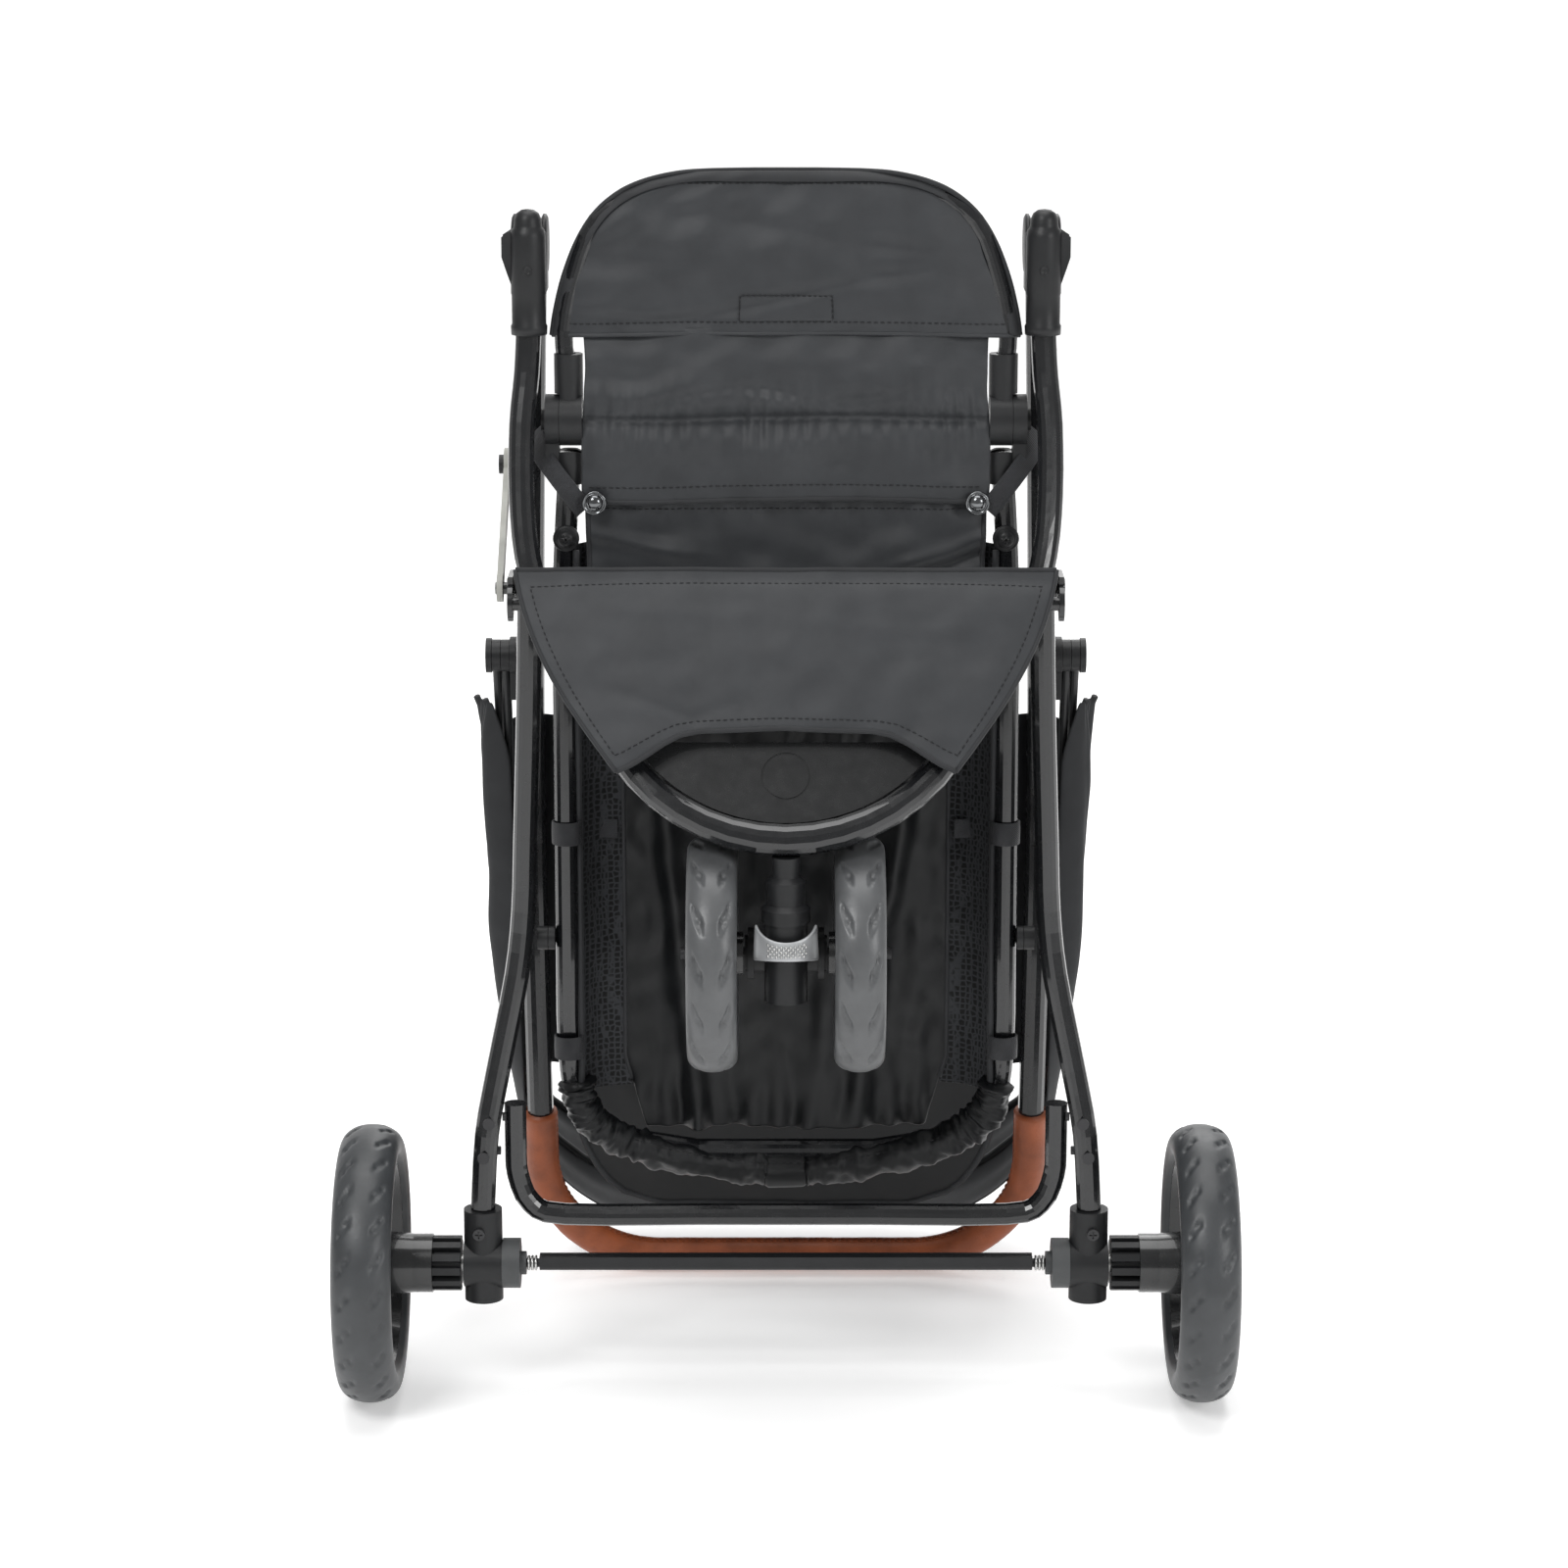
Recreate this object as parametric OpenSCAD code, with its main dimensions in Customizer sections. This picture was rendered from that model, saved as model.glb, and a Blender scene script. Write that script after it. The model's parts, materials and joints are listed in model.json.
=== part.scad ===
// Folding pet stroller, modelled standing folded on its rear wheels and handle.
// Front faces -Y, left is -X, millimetres.

/* [Rear wheels] */
// Radius of a rear tyre
rear_wheel_r = 94; // [88:1:96]
// Width of a rear tyre
rear_wheel_w = 40; // [34:1:44]
// Centre of a rear wheel from the middle
rear_track = 281; // [281:1:290]
/* [Front wheels] */
// Radius of a front tyre
front_wheel_r = 78; // [60:1:78]
// Width of a front tyre
front_wheel_w = 33; // [28:1:34]
// Centre of a front wheel from the middle
front_track = 48; // [48:1:52]
/* [Tubes] */
// Radius of the front frame tube
front_tube_r = 8.5; // [7:0.5:9]
// Radius of a rear leg
leg_r = 8.3; // [7:0.1:8.3]
// Radius of the handle tube
handle_tube_r = 9.5; // [8:0.5:9.5]
// Radius of the leather grip
grip_r = 12.5; // [11:0.5:13]
// Radius of the cabin loop tube
loop_r = 7.5; // [6:0.5:7.5]
/* [Soft parts] */
// Thickness of a cloth panel
cloth_t = 4; // [3:0.5:5]
// Height of a folding cabin side wall
wall_h = 122; // [80:1:124]

/* [Hidden] */
$fn = 48;

run_gap = 0.05;      // radial clearance of a running fit
tube_sides = 16;
floor_z = 5;         // height of the floor in the places below

// Hinge points, as [y, z]
rear_pivot = [20, 561];
handle_pivot = [66, 782];
cabin_pivot = [35, 318];
knuckle = [50, 668];
swivel_y = -84;
front_axle_yz = [-50, 331];
canopy_pivot = [134, 492];
latch_pivot = [8, 563];
stud_at = [102, 630];

// Handle plane
grip_centre_z = floor_z + grip_r;
handle_slope = 0.238;
handle_tilt = atan(handle_slope);
handle_len = (handle_pivot[1] - grip_centre_z) / cos(handle_tilt);
handle_corner = 85;
grip_start = 663;
handle_x = 178;

canopy_len = 462;
canopy_corner = 110;
mid_angle = 20;
front_angle = 26;
bow_r = 3.2;

// The whole is slid so that it stands on the floor with its middle over the origin
front_y = front_axle_yz[0] - front_wheel_r;
back_y = canopy_pivot[0] + canopy_len * sin(front_angle) + bow_r * cos(front_angle);

// ---- helpers -------------------------------------------------------------
function curve(p, i, t) =
    let (a = p[max(i - 1, 0)], b = p[i], c = p[i + 1], d = p[min(i + 2, len(p) - 1)])
    0.5 * (2 * b + (c - a) * t + (2 * a - 5 * b + 4 * c - d) * t * t
        + (3 * b - a - 3 * c + d) * t * t * t);
function smooth(p, k = 4) =
    concat([for (i = [0:len(p) - 2]) for (j = [0:k - 1]) curve(p, i, j / k)], [p[len(p) - 1]]);
function mirrored(p) = [for (i = [len(p) - 1:-1:0]) [-p[i][0], p[i][1], p[i][2]]];
function unit(v) = v / norm(v);
function heading(p, i) = unit(p[min(i + 1, len(p) - 1)] - p[max(i - 1, 0)]);
// A point at distance s along a plane that hangs from a pivot at an angle
function hung(pivot, angle, x, s) =
    [x, pivot[0] + s * sin(angle), pivot[1] - s * cos(angle)];
// Left half of a U: straight arm, then a round corner to the middle
function u_side(pivot, angle, x_top, x, s0, len, corner, steps = 7) = concat(
    [hung(pivot, angle, -x_top, s0), hung(pivot, angle, -x, s0 + 0.4 * (len - corner - s0))],
    [for (i = [0:steps]) let (a = 90 * i / steps)
        hung(pivot, angle, -x + corner * (1 - cos(a)), len - corner + corner * sin(a))],
    [hung(pivot, angle, -(x - corner) / 2, len)]);
function u_loop(half) = concat(half, mirrored(half));

// A round tube swept along a path; r is one radius or one for each point
module sweep(path, r, ref = [0, 1, 0], sides = tube_sides) {
    n = len(path);
    points = [for (i = [0:n - 1])
        let (t = heading(path, i), u = unit(cross(t, ref)), v = cross(t, u),
             q = is_list(r) ? r[i] : r)
        for (k = [0:sides - 1])
            path[i] + q * (cos(360 * k / sides) * u + sin(360 * k / sides) * v)];
    skin = [for (i = [0:n - 2]) for (k = [0:sides - 1])
        let (a = i * sides + k, b = i * sides + (k + 1) % sides)
        each [[a, a + sides, b + sides], [a, b + sides, b]]];
    ends = [[for (k = [0:sides - 1]) k],
            [for (k = [sides - 1:-1:0]) (n - 1) * sides + k]];
    polyhedron(points, concat(skin, ends));
}
// Carries one sub-part to its place about the origin
module place() {
    translate([0, -(front_y + back_y) / 2, -floor_z]) children();
}
module both() {
    children();
    mirror([1, 0, 0]) children();
}
module left(is_left) {
    mirror([is_left ? 0 : 1, 0, 0]) children();
}
// A cylinder along X from x0 to x1 at [y, z]
module xcyl(x0, x1, at, r) {
    translate([x0, at[0], at[1]]) rotate([0, 90, 0]) cylinder(r = r, h = x1 - x0);
}
// An outline drawn in Y and Z, extruded from x0 to x1
module xslab(x0, x1) {
    translate([x0, 0, 0]) rotate([90, 0, 90]) linear_extrude(x1 - x0) children();
}
// An outline drawn in X and Z, extruded from y0 to y1
module yslab(y0, y1) {
    translate([0, y1, 0]) rotate([90, 0, 0]) linear_extrude(y1 - y0) children();
}

// ---- front frame ----------------------------------------------------------
sleeve_z = [727, 752];
ring_w = 62;
ring_half = 110;
ring_r = (ring_half * ring_half + ring_w * ring_w) / (2 * ring_w);
ring_top = [-54, 470];
ring_tilt = 29;
ring_tube_r = 10.5;
function ring_point(a, r = ring_r) =
    let (w = ring_w - ring_r + r * cos(a))
    [r * sin(a), ring_top[0] - w * sin(ring_tilt), ring_top[1] - w * cos(ring_tilt)];
front_side = [[-168.6, 44.4, sleeve_z[0] - 0.1], [-170, 40, 700], [-173, 30, 668], [-173, 16, 624],
    [-169, 2, 586], [-158, -12, 548], [-138, -32, 508]];
front_arm = smooth(front_side, 3);
front_arc = [for (a = [-56:8:-8]) ring_point(a)];
front_half = concat(front_arm, front_arc);
front_radii = concat([for (p = front_arm) front_tube_r],
    [for (i = [1:len(front_arc)]) front_tube_r + (ring_tube_r - front_tube_r) * i / len(front_arc)]);
function turned(list) = [for (i = [len(list) - 1:-1:0]) list[i]];

module front_tube() {
    color("#16181a") sweep(concat(front_half, [ring_point(0)], mirrored(front_half)),
        concat(front_radii, [ring_tube_r], turned(front_radii)));
}
housing_x = [-180, -156];
hub_x = [-174, -161];
module housing_profile() {
    translate(handle_pivot) circle(r = 20);
    polygon([[31, sleeve_z[1]], [58, sleeve_z[1]], [72, 764], [62, 792], [38, 792]]);
}
module hinge_housings() {
    color("#1d1f21") both() {
        difference() {
            union() {
                xslab(housing_x[0], housing_x[1]) housing_profile();
                xslab(-184, -170) translate([40, 774]) square([20, 20]);
            }
            xcyl(hub_x[0] - 0.3, hub_x[1] + 0.3, handle_pivot, 26);
            translate([hub_x[0] - 0.3, 63, 700]) cube([13.6, 40, 82]);
        }
        translate([-168.6, 44, sleeve_z[0]]) cylinder(r = 11.5, h = sleeve_z[1] - sleeve_z[0] - 0.2);
        translate([-168, 42, 792.5]) rotate_extrude() {
            square([9, 5]);
            intersection() {
                translate([0, 5]) circle(r = 9);
                square([9, 14]);
            }
        }
    }
}
module fender_plate() {
    color("#0f1011") translate([0, ring_top[0], ring_top[1]]) rotate([-ring_tilt, 0, 0])
        translate([0, 2, 0]) rotate([90, 0, 0]) difference() {
            linear_extrude(4) intersection() {
                translate([0, ring_r - ring_w]) circle(r = ring_r - ring_tube_r - 0.4);
                translate([-150, -150]) square([300, 153]);
            }
            translate([0, -20, 3.2]) difference() {
                cylinder(r = 16, h = 2);
                cylinder(r = 14.6, h = 2);
            }
        }
}
socket_top = 405;
socket_base = 362;
stem_r = 6;
module caster_socket() {
    color("#1a1b1c") difference() {
        translate([0, swivel_y, 0]) rotate_extrude() polygon([[0, socket_base], [16, socket_base],
            [16, 371], [12.5, 374], [12.5, 389], [9, 392], [9, socket_top], [0, socket_top]]);
        translate([0, swivel_y, socket_base - 1]) cylinder(r = stem_r + run_gap, h = 33);
    }
}
plate_x = [-181.5, -178.2];
module pivot_plates() {
    color("#191a1c") both() {
        xslab(plate_x[0], plate_x[1]) {
            translate(rear_pivot) circle(r = 12);
            translate([-6, 556]) circle(r = 12);
            translate([-6, 549]) square([26, 24]);
        }
        xcyl(plate_x[1], -170.2, [-10, 556], 4.5);
        xcyl(plate_x[1], -160.5, rear_pivot, 4);
        xcyl(-183.5, plate_x[0], rear_pivot, 6.5);
    }
    color("#191a1c") xcyl(-190.5, plate_x[0], latch_pivot, 4);
}
apron_top = [-16, 574];
apron_tilt = 30;
module apron() {
    color("#4a4b4e") translate([0, apron_top[0], apron_top[1]]) rotate([-apron_tilt, 0, 0])
        yslab(-cloth_t / 2, cloth_t / 2) polygon([[-176, 6], [176, 6], [150, -74], [132, -102],
            [109, -130], [90, -119], [72, -104], [-72, -104], [-90, -119], [-109, -130], [-132, -102],
            [-150, -74]]);
}

// ---- rear frame ---------------------------------------------------------
leg_foot = [-205, 0, 138];
leg_side = [[-169, 20, 548], [-171, 22, 470], [-174, 24, 390], [-176, 24, 340], [-181, 20, 296],
    [-194, 12, 232], [-202, 5, 188], leg_foot];
module rear_leg(is_left) {
    color("#16181a") left(is_left) sweep(smooth(leg_side, 3), leg_r);
}
module leg_eyes() {
    color("#16181a") both() difference() {
        xcyl(-177.6, -161, rear_pivot, 12.5);
        xcyl(-179, -160, rear_pivot, 4 + run_gap);
    }
}
crossbar_y = 14;
crossbar_z = 129;
crossbar_half = [[-183, crossbar_y, 208], [-183, crossbar_y, 178], [-182, crossbar_y, 158],
    [-173, crossbar_y, 137], [-150, crossbar_y, crossbar_z], [-60, crossbar_y, crossbar_z]];
module crossbar() {
    color("#16181a") sweep(concat(smooth(crossbar_half, 3), mirrored(smooth(crossbar_half, 3))), 7.5);
}
axle_z = floor_z + rear_wheel_r;
axle_r = 6;
bracket_base = 74;
bracket_h = 63.8;
module axle_brackets() {
    color("#1b1c1e") both() difference() {
        union() {
            translate([leg_foot[0], 0, bracket_base]) cylinder(r = 13, h = bracket_h);
            xcyl(-218, -192, [0, axle_z], 16);
        }
        xcyl(-230, -180, [0, axle_z], axle_r + 0.02);
        sweep(smooth(leg_side, 3), leg_r + 0.05);
    }
}
module rear_axles() {
    color("silver") both() xcyl(-rear_track - 21, -192, [0, axle_z], axle_r);
}
module leg_rivets() {
    color("#303235") both() for (z = [200, 176]) {
        x = z > 190 ? -199.5 : -203.4;
        translate([x, 0, z]) rotate([0, 0, 90]) {
            xcyl(-1 - leg_r, -leg_r + 0.2, [0, 0], 4);
        }
        translate([x + leg_r - 0.2, 9, z]) rotate([0, 90, 0]) cylinder(r = 3, h = 2.6);
    }
}
module bracket_screws() {
    color("silver") both() translate([-207, -13.2, 124]) rotate([90, 0, 0]) difference() {
        cylinder(r = 4, h = 2.4);
        for (a = [0, 90]) rotate([0, 0, a]) translate([-2.6, -0.5, 1.2]) cube([5.2, 1, 2]);
    }
}
pin_r = 3.5;
module pivot_bushings() {
    color("#202224") both() {
        xcyl(-167.4, -160.4, cabin_pivot, 8);
        xcyl(-160.4, -156.2, cabin_pivot, pin_r);
    }
}
module brake_discs() {
    color("#5a5d60") both() difference() {
        union() {
            xcyl(-191.9, -180, [0, axle_z], 17);
            xcyl(-180, -176, [0, axle_z], 8);
        }
        xcyl(-194, -174, [0, axle_z], 3.2);
    }
}
module brake_springs() {
    color("#8b8e90") both() for (x = [-174.4:2.4:-169.4]) translate([x, 0, axle_z])
        rotate([0, 90, 0]) rotate_extrude() translate([4.4, 0]) circle(r = 0.9, $fn = 16);
}
module brake_bar() {
    color("#1a1b1c") {
        xslab(-167, 167) difference() {
            union() {
                translate([0, axle_z]) circle(r = 5);
                translate([-5, axle_z - 1]) square([10, 6.5]);
            }
            translate([-1, axle_z + 4.6]) square([2, 2]);
        }
        both() xcyl(-186, -167, [0, axle_z], 3);
    }
}

// ---- wheels ----------------------------------------------------------------
module spun(x, at) {
    translate([x, at[0], at[1]]) rotate([0, 90, 0]) rotate_extrude($fn = 96) children();
}
module tyre_profile(r, w, depth) {
    polygon([[r - depth, -w * 0.36], [r - depth * 0.5, -w / 2], [r - depth * 0.22, -w * 0.46],
        [r - 1.6, -w * 0.24], [r, 0], [r - 1.6, w * 0.24], [r - depth * 0.22, w * 0.46],
        [r - depth * 0.5, w / 2], [r - depth, w * 0.36]]);
}
rear_depth = 22;
front_depth = 17;
hub_in = 42;
gear_w = 19;
module rear_tyre(is_left) {
    color("#5b5e61") left(is_left) spun(-rear_track, [0, axle_z])
        tyre_profile(rear_wheel_r, rear_wheel_w, rear_depth);
}
module rear_rim(is_left) {
    bore = axle_r + run_gap;
    rim = rear_wheel_r - rear_depth - 0.02;
    color("#141517") left(is_left) difference() {
        spun(-rear_track, [0, axle_z]) polygon([[bore, -20], [14, -20], [19, -14], [21, -5],
            [rim - 8, -5], [rim - 4, -15], [rim, -15], [rim, 15], [rim - 4, 15], [rim - 8, 3],
            [22, 3], [20, 29], [20, hub_in], [bore, hub_in]]);
        for (a = [0:60:300]) translate([-rear_track, 0, axle_z]) rotate([a, 0, 0])
            translate([0, 0, 46]) rotate([0, 90, 0]) cylinder(r = 13, h = 30, center = true);
    }
}
module brake_gear(is_left) {
    x0 = -rear_track + hub_in + 0.1;
    color("#1c1e20") left(is_left) difference() {
        union() {
            xcyl(x0, x0 + gear_w, [0, axle_z], 14);
            for (a = [0:30:330]) translate([x0, 0, axle_z]) rotate([a, 0, 0])
                translate([0, -2.5, 12]) cube([gear_w, 5, 6.5]);
        }
        xcyl(x0 - 1, x0 + gear_w + 1, [0, axle_z], axle_r + run_gap);
    }
}
fork_base = 309;
fork_top = socket_base - 0.4;
front_axle_r = 4;
module caster_fork() {
    color("#1b1c1d") difference() {
        union() {
            translate([0, swivel_y, fork_base]) cylinder(r = 14, h = fork_top - fork_base);
            translate([0, swivel_y, 340]) cylinder(r = stem_r, h = 52);
            xslab(-11, 11) polygon([[swivel_y, 315], [front_axle_yz[0], front_axle_yz[1] - 12],
                [front_axle_yz[0], front_axle_yz[1] + 12], [swivel_y, 352]]);
            xcyl(-27, 27, front_axle_yz, 12);
            for (x = [-25, 21]) xcyl(x, x + 4, front_axle_yz, 17);
        }
        xcyl(-40, 40, front_axle_yz, front_axle_r + 0.02);
    }
}
module front_axle() {
    color("silver") xcyl(-69, 69, front_axle_yz, front_axle_r);
}
module swivel_lock_tab() {
    color("#b9bbbc") difference() {
        intersection() {
            translate([0, swivel_y, 338]) cylinder(r = 21, h = 20);
            yslab(swivel_y - 30, swivel_y - 11.3) intersection() {
                translate([0, 356]) circle(r = 19);
                translate([-19, 338]) square([38, 20]);
            }
        }
        translate([0, swivel_y, 330]) cylinder(r = 14.5, h = 40);
        for (x = [-8:4:8]) for (z = [345, 349, 353]) translate([x, swivel_y - 21.5, z])
            rotate([90, 0, 0]) cylinder(r = 1, h = 3, center = true, $fn = 16);
    }
}
module front_tyre(is_left) {
    color("#7b7e81") left(is_left) spun(-front_track, front_axle_yz)
        tyre_profile(front_wheel_r, front_wheel_w, front_depth);
}
module front_rim(is_left) {
    bore = front_axle_r + run_gap;
    rim = front_wheel_r - front_depth - 0.02;
    color("#141517") left(is_left) difference() {
        spun(-front_track, front_axle_yz) polygon([[bore, -15], [12, -15], [15, -4], [rim - 5, -4],
            [rim - 3, -12], [rim, -12], [rim, 12], [rim - 3, 12], [rim - 5, 2], [15, 2], [14, 20],
            [bore, 20]]);
        for (a = [0:72:288]) translate([-front_track, front_axle_yz[0], front_axle_yz[1]])
            rotate([a, 0, 0]) translate([0, 0, 32]) rotate([0, 90, 0])
                cylinder(r = 10, h = 30, center = true);
    }
}

// ---- handle -----------------------------------------------------------------
tube_start = 31;
handle_arm = [hung(handle_pivot, handle_tilt, -167.5, tube_start),
    hung(handle_pivot, handle_tilt, -170, 110),
    hung(handle_pivot, handle_tilt, -175, 280), hung(handle_pivot, handle_tilt, -handle_x, 460),
    hung(handle_pivot, handle_tilt, -handle_x, grip_start - 0.2)];
grip_side = concat([hung(handle_pivot, handle_tilt, -handle_x, grip_start)],
    [for (i = [0:7]) let (a = 90 * i / 7) hung(handle_pivot, handle_tilt,
        -handle_x + handle_corner * (1 - cos(a)), handle_len - handle_corner + handle_corner * sin(a))],
    [hung(handle_pivot, handle_tilt, -45, handle_len)]);
module handle_tube(is_left) {
    color("#16181a") left(is_left) sweep(smooth(handle_arm, 3), handle_tube_r, [1, 0, 0]);
}
module handle_hubs() {
    color("#222426") both() xslab(hub_x[0], hub_x[1]) {
        translate(handle_pivot) circle(r = 17);
        translate(handle_pivot) rotate(handle_tilt) translate([-8, -tube_start])
            square([16, tube_start]);
    }
}
module leather_grip() {
    color("#96502e") sweep(concat(grip_side, mirrored(grip_side)), grip_r,
        [0, cos(handle_tilt), sin(handle_tilt)], 24);
}
boss_r = 6;
clip_x = [-189.5, -185.2];
eye_mid_x = [-195.6, -189.8];
eye_front_x = [-201.8, -196];
module canopy_clips() {
    color("#1f2123") both() {
        xcyl(-206, -202.1, canopy_pivot, 12);
        xcyl(-202.1, clip_x[0], canopy_pivot, boss_r);
        xslab(clip_x[0], clip_x[1]) {
            translate(canopy_pivot) circle(r = 13);
            translate([canopy_pivot[0] - 7, canopy_pivot[1] - 30]) square([14, 30]);
        }
    }
}
module latch_stud() {
    color("#26282a") {
        xcyl(-190, -182.4, stud_at, 3.5);
        xcyl(-193, -190, stud_at, 6.5);
    }
}
latch_dir = atan2(stud_at[1] - latch_pivot[1], stud_at[0] - latch_pivot[0]);
latch_len = norm(stud_at - latch_pivot);
exit_dir = 13;
module fold_latch() {
    color("#a5a6a2") xslab(-189.4, -185.4) difference() {
        union() {
            translate(latch_pivot) circle(r = 9);
            translate(stud_at) circle(r = 11);
            translate(latch_pivot) rotate(latch_dir) translate([0, -6]) square([latch_len - 5, 12]);
        }
        translate(latch_pivot) circle(r = 4 + run_gap);
        translate(stud_at) circle(r = 5);
        translate(stud_at) rotate(exit_dir) translate([0, -5]) square([20, 10]);
    }
}

// ---- canopy ------------------------------------------------------------------
module canopy_bow(angle, x) {
    half = u_side(canopy_pivot, angle, x, x, 11.2, canopy_len, canopy_corner);
    sweep(u_loop(half), bow_r, [0, cos(angle), sin(angle)], 12);
}
module canopy_eyes(span) {
    both() difference() {
        xcyl(span[0], span[1], canopy_pivot, 11);
        xcyl(span[0] - 1, span[1] + 1, canopy_pivot, boss_r + run_gap);
    }
}
module canopy_mid_bow() {
    color("#2a2c2e") canopy_bow(mid_angle, 192.7);
}
module canopy_front_bow() {
    color("#2a2c2e") canopy_bow(front_angle, 198.9);
}
module canopy_mid_eyes() {
    color("#2a2c2e") canopy_eyes(eye_mid_x);
}
module canopy_front_eyes() {
    color("#2a2c2e") canopy_eyes(eye_front_x);
}
// A roll of folded cloth that lies between two bows
module canopy_roll(angle, x, r_end) {
    half = u_side(canopy_pivot, angle, x, x, 110, canopy_len, canopy_corner);
    path = u_loop(half);
    n = len(path);
    radii = [for (i = [0:n - 1]) let (s = min(i, n - 1 - i)) 1.2 + (r_end - 1.2) * min(1, s / 6)];
    sweep(path, radii, [0, cos(angle), sin(angle)], 12);
}
module canopy_cloth_rear() {
    color("#34363a") canopy_roll(mid_angle - 3.4, 197, 9);
}
module canopy_cloth_front() {
    color("#34363a") canopy_roll((mid_angle + front_angle) / 2, 201, 9);
}

// ---- cabin ---------------------------------------------------------------------
loop_x = 148;
loop_side = [[-142, 50, 646], [-145, 50, 610], [-loop_x, 47, 540], [-loop_x, 42, 420],
    [-loop_x, 41, 318], [-loop_x, 46, 240], [-142, 52, 196], [-118, 58, 172], [-60, 60, 160]];
module cabin_loop() {
    color("#16181a") sweep(concat(smooth(loop_side, 3), mirrored(smooth(loop_side, 3))), loop_r);
}
knuckle_r = 17;
knuckle_split = -149.3;
module cabin_knuckles() {
    color("#1c1e20") both() difference() {
        union() {
            xcyl(-158.5, knuckle_split, knuckle, knuckle_r);
            translate([-150, knuckle[0] - 3.4, 646]) mirror([0, 0, 1]) cylinder(r = 3, h = 1);
            xcyl(knuckle_split, -134, knuckle, 5);
        }
        xcyl(-160, -154, knuckle, 7 + run_gap);
    }
    color("#1c1e20") both() difference() {
        union() {
            translate([-143, knuckle[0], 626]) cylinder(r = 10, h = 22);
            translate([-158.5, knuckle[0] - 8, 636]) cube([9, 16, 22]);
        }
        hull() for (p = [[-143.4, 50, 620], [-141.6, 50, 652]]) translate(p) sphere(r = 7.8, $fn = 24);
        xcyl(-149.2, -130, knuckle, 22);
    }
}
module pivot_lugs() {
    color("#1c1e20") both() difference() {
        xcyl(-160, -155.7, cabin_pivot, 8);
        xcyl(-161, -155, cabin_pivot, pin_r + run_gap);
    }
}
floor_y = 66;
module cabin_floor() {
    color("#1b1c1e") {
        yslab(floor_y, floor_y + cloth_t) polygon([[-128, 590], [-128, 210], [-108, 192], [108, 192],
            [128, 210], [128, 590]]);
        both() yslab(floor_y - 22, floor_y + cloth_t) polygon([[-136, 560], [-136, 226], [-128, 215],
            [-128, 560]]);
    }
}
gather_side = [[-136, 49, 205], [-128, 60, 178], [-100, 66, 164], [-50, 68, 154]];
module gathered_edge() {
    color("#232427") translate([0, 17, -2])
        sweep(concat(smooth(gather_side, 3), mirrored(smooth(gather_side, 3))), 10);
}
wall_y = 78;
wall_z = [232, 596];
module side_wall(is_left) {
    color("#303236") left(is_left) yslab(wall_y, wall_y + cloth_t)
        polygon([[-126, wall_z[0]], [-126, wall_z[1]], [-126 + wall_h, wall_z[1] - 24],
            [-126 + wall_h, wall_z[0] + 16]]);
}
module lower_panel() {
    color("#424447") yslab(37, 37 + cloth_t) translate([-130, 500]) square([260, 118]);
}
module mid_panel() {
    color("#46484b") yslab(33, 33 + cloth_t) translate([-132, 622]) square([264, 84]);
}
module webbing_straps() {
    color("#1f2022") both() translate([-152.5, 37, 622]) rotate([0, 32, 0]) translate([-8, -2, -4])
        cube([16, 2, 24]);
}
module snap_buttons() {
    color("#0d0e0f") both() translate([-126, 32.8, 616]) rotate([90, 0, 0]) {
        cylinder(r = 7, h = 1.6);
        translate([0, 0, 1.6]) cylinder(r1 = 6, r2 = 3.5, h = 2.4);
    }
}
bow_side = [[-143, 50, 697], [-146, 51, 727], [-139, 53, 762], [-124, 56, 798], [-92, 59, 816],
    [-40, 60, 819]];
module bow_tube() {
    color("#16181a") sweep(concat(smooth(bow_side, 3), mirrored(smooth(bow_side, 3))), 6);
}
module bow_knuckles() {
    color("#1c1e20") both() difference() {
        union() {
            xcyl(knuckle_split + 0.3, -134, knuckle, knuckle_r);
            translate([-143, knuckle[0], 676]) cylinder(r = 9.5, h = 36);
        }
        xcyl(-150, -133, knuckle, 5 + run_gap);
        hull() for (p = [[-143, 50, 697], [-144.8, 50.4, 716]]) translate(p) sphere(r = 6.4, $fn = 24);
        translate([-160, 20, 660]) cube([160 + knuckle_split + 0.3, 60, 26]);
    }
}
module top_flap() {
    color("#4b4c50") yslab(38, 38 + cloth_t) polygon([[-152, 726], [152, 726], [144, 764], [127, 803],
        [96, 827], [60, 830], [-60, 830], [-96, 827], [-127, 803], [-144, 764]]);
}
module push_button(is_left) {
    color("#2a2c2e") left(is_left) xcyl(-161.3, -157.4, knuckle, 7);
}

place() front_tube();
place() hinge_housings();
place() fender_plate();
place() caster_socket();
place() pivot_plates();
place() apron();
place() rear_leg(true);  // rear_leg_left
place() rear_leg(false);  // rear_leg_right
place() leg_eyes();
place() crossbar();
place() axle_brackets();
place() rear_axles();
place() leg_rivets();
place() bracket_screws();
place() pivot_bushings();
place() brake_discs();
place() brake_springs();
place() brake_bar();
place() rear_tyre(true);  // rear_tyre_left
place() rear_rim(true);  // rear_rim_left
place() brake_gear(true);  // brake_gear_left
place() rear_tyre(false);  // rear_tyre_right
place() rear_rim(false);  // rear_rim_right
place() brake_gear(false);  // brake_gear_right
place() caster_fork();
place() front_axle();
place() swivel_lock_tab();
place() front_tyre(true);  // front_tyre_left
place() front_rim(true);  // front_rim_left
place() front_tyre(false);  // front_tyre_right
place() front_rim(false);  // front_rim_right
place() handle_tube(true);  // handle_tube_left
place() handle_tube(false);  // handle_tube_right
place() handle_hubs();
place() leather_grip();
place() canopy_clips();
place() latch_stud();
place() fold_latch();
place() canopy_mid_bow();
place() canopy_mid_eyes();
place() canopy_front_bow();
place() canopy_front_eyes();
place() canopy_cloth_rear();
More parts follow.
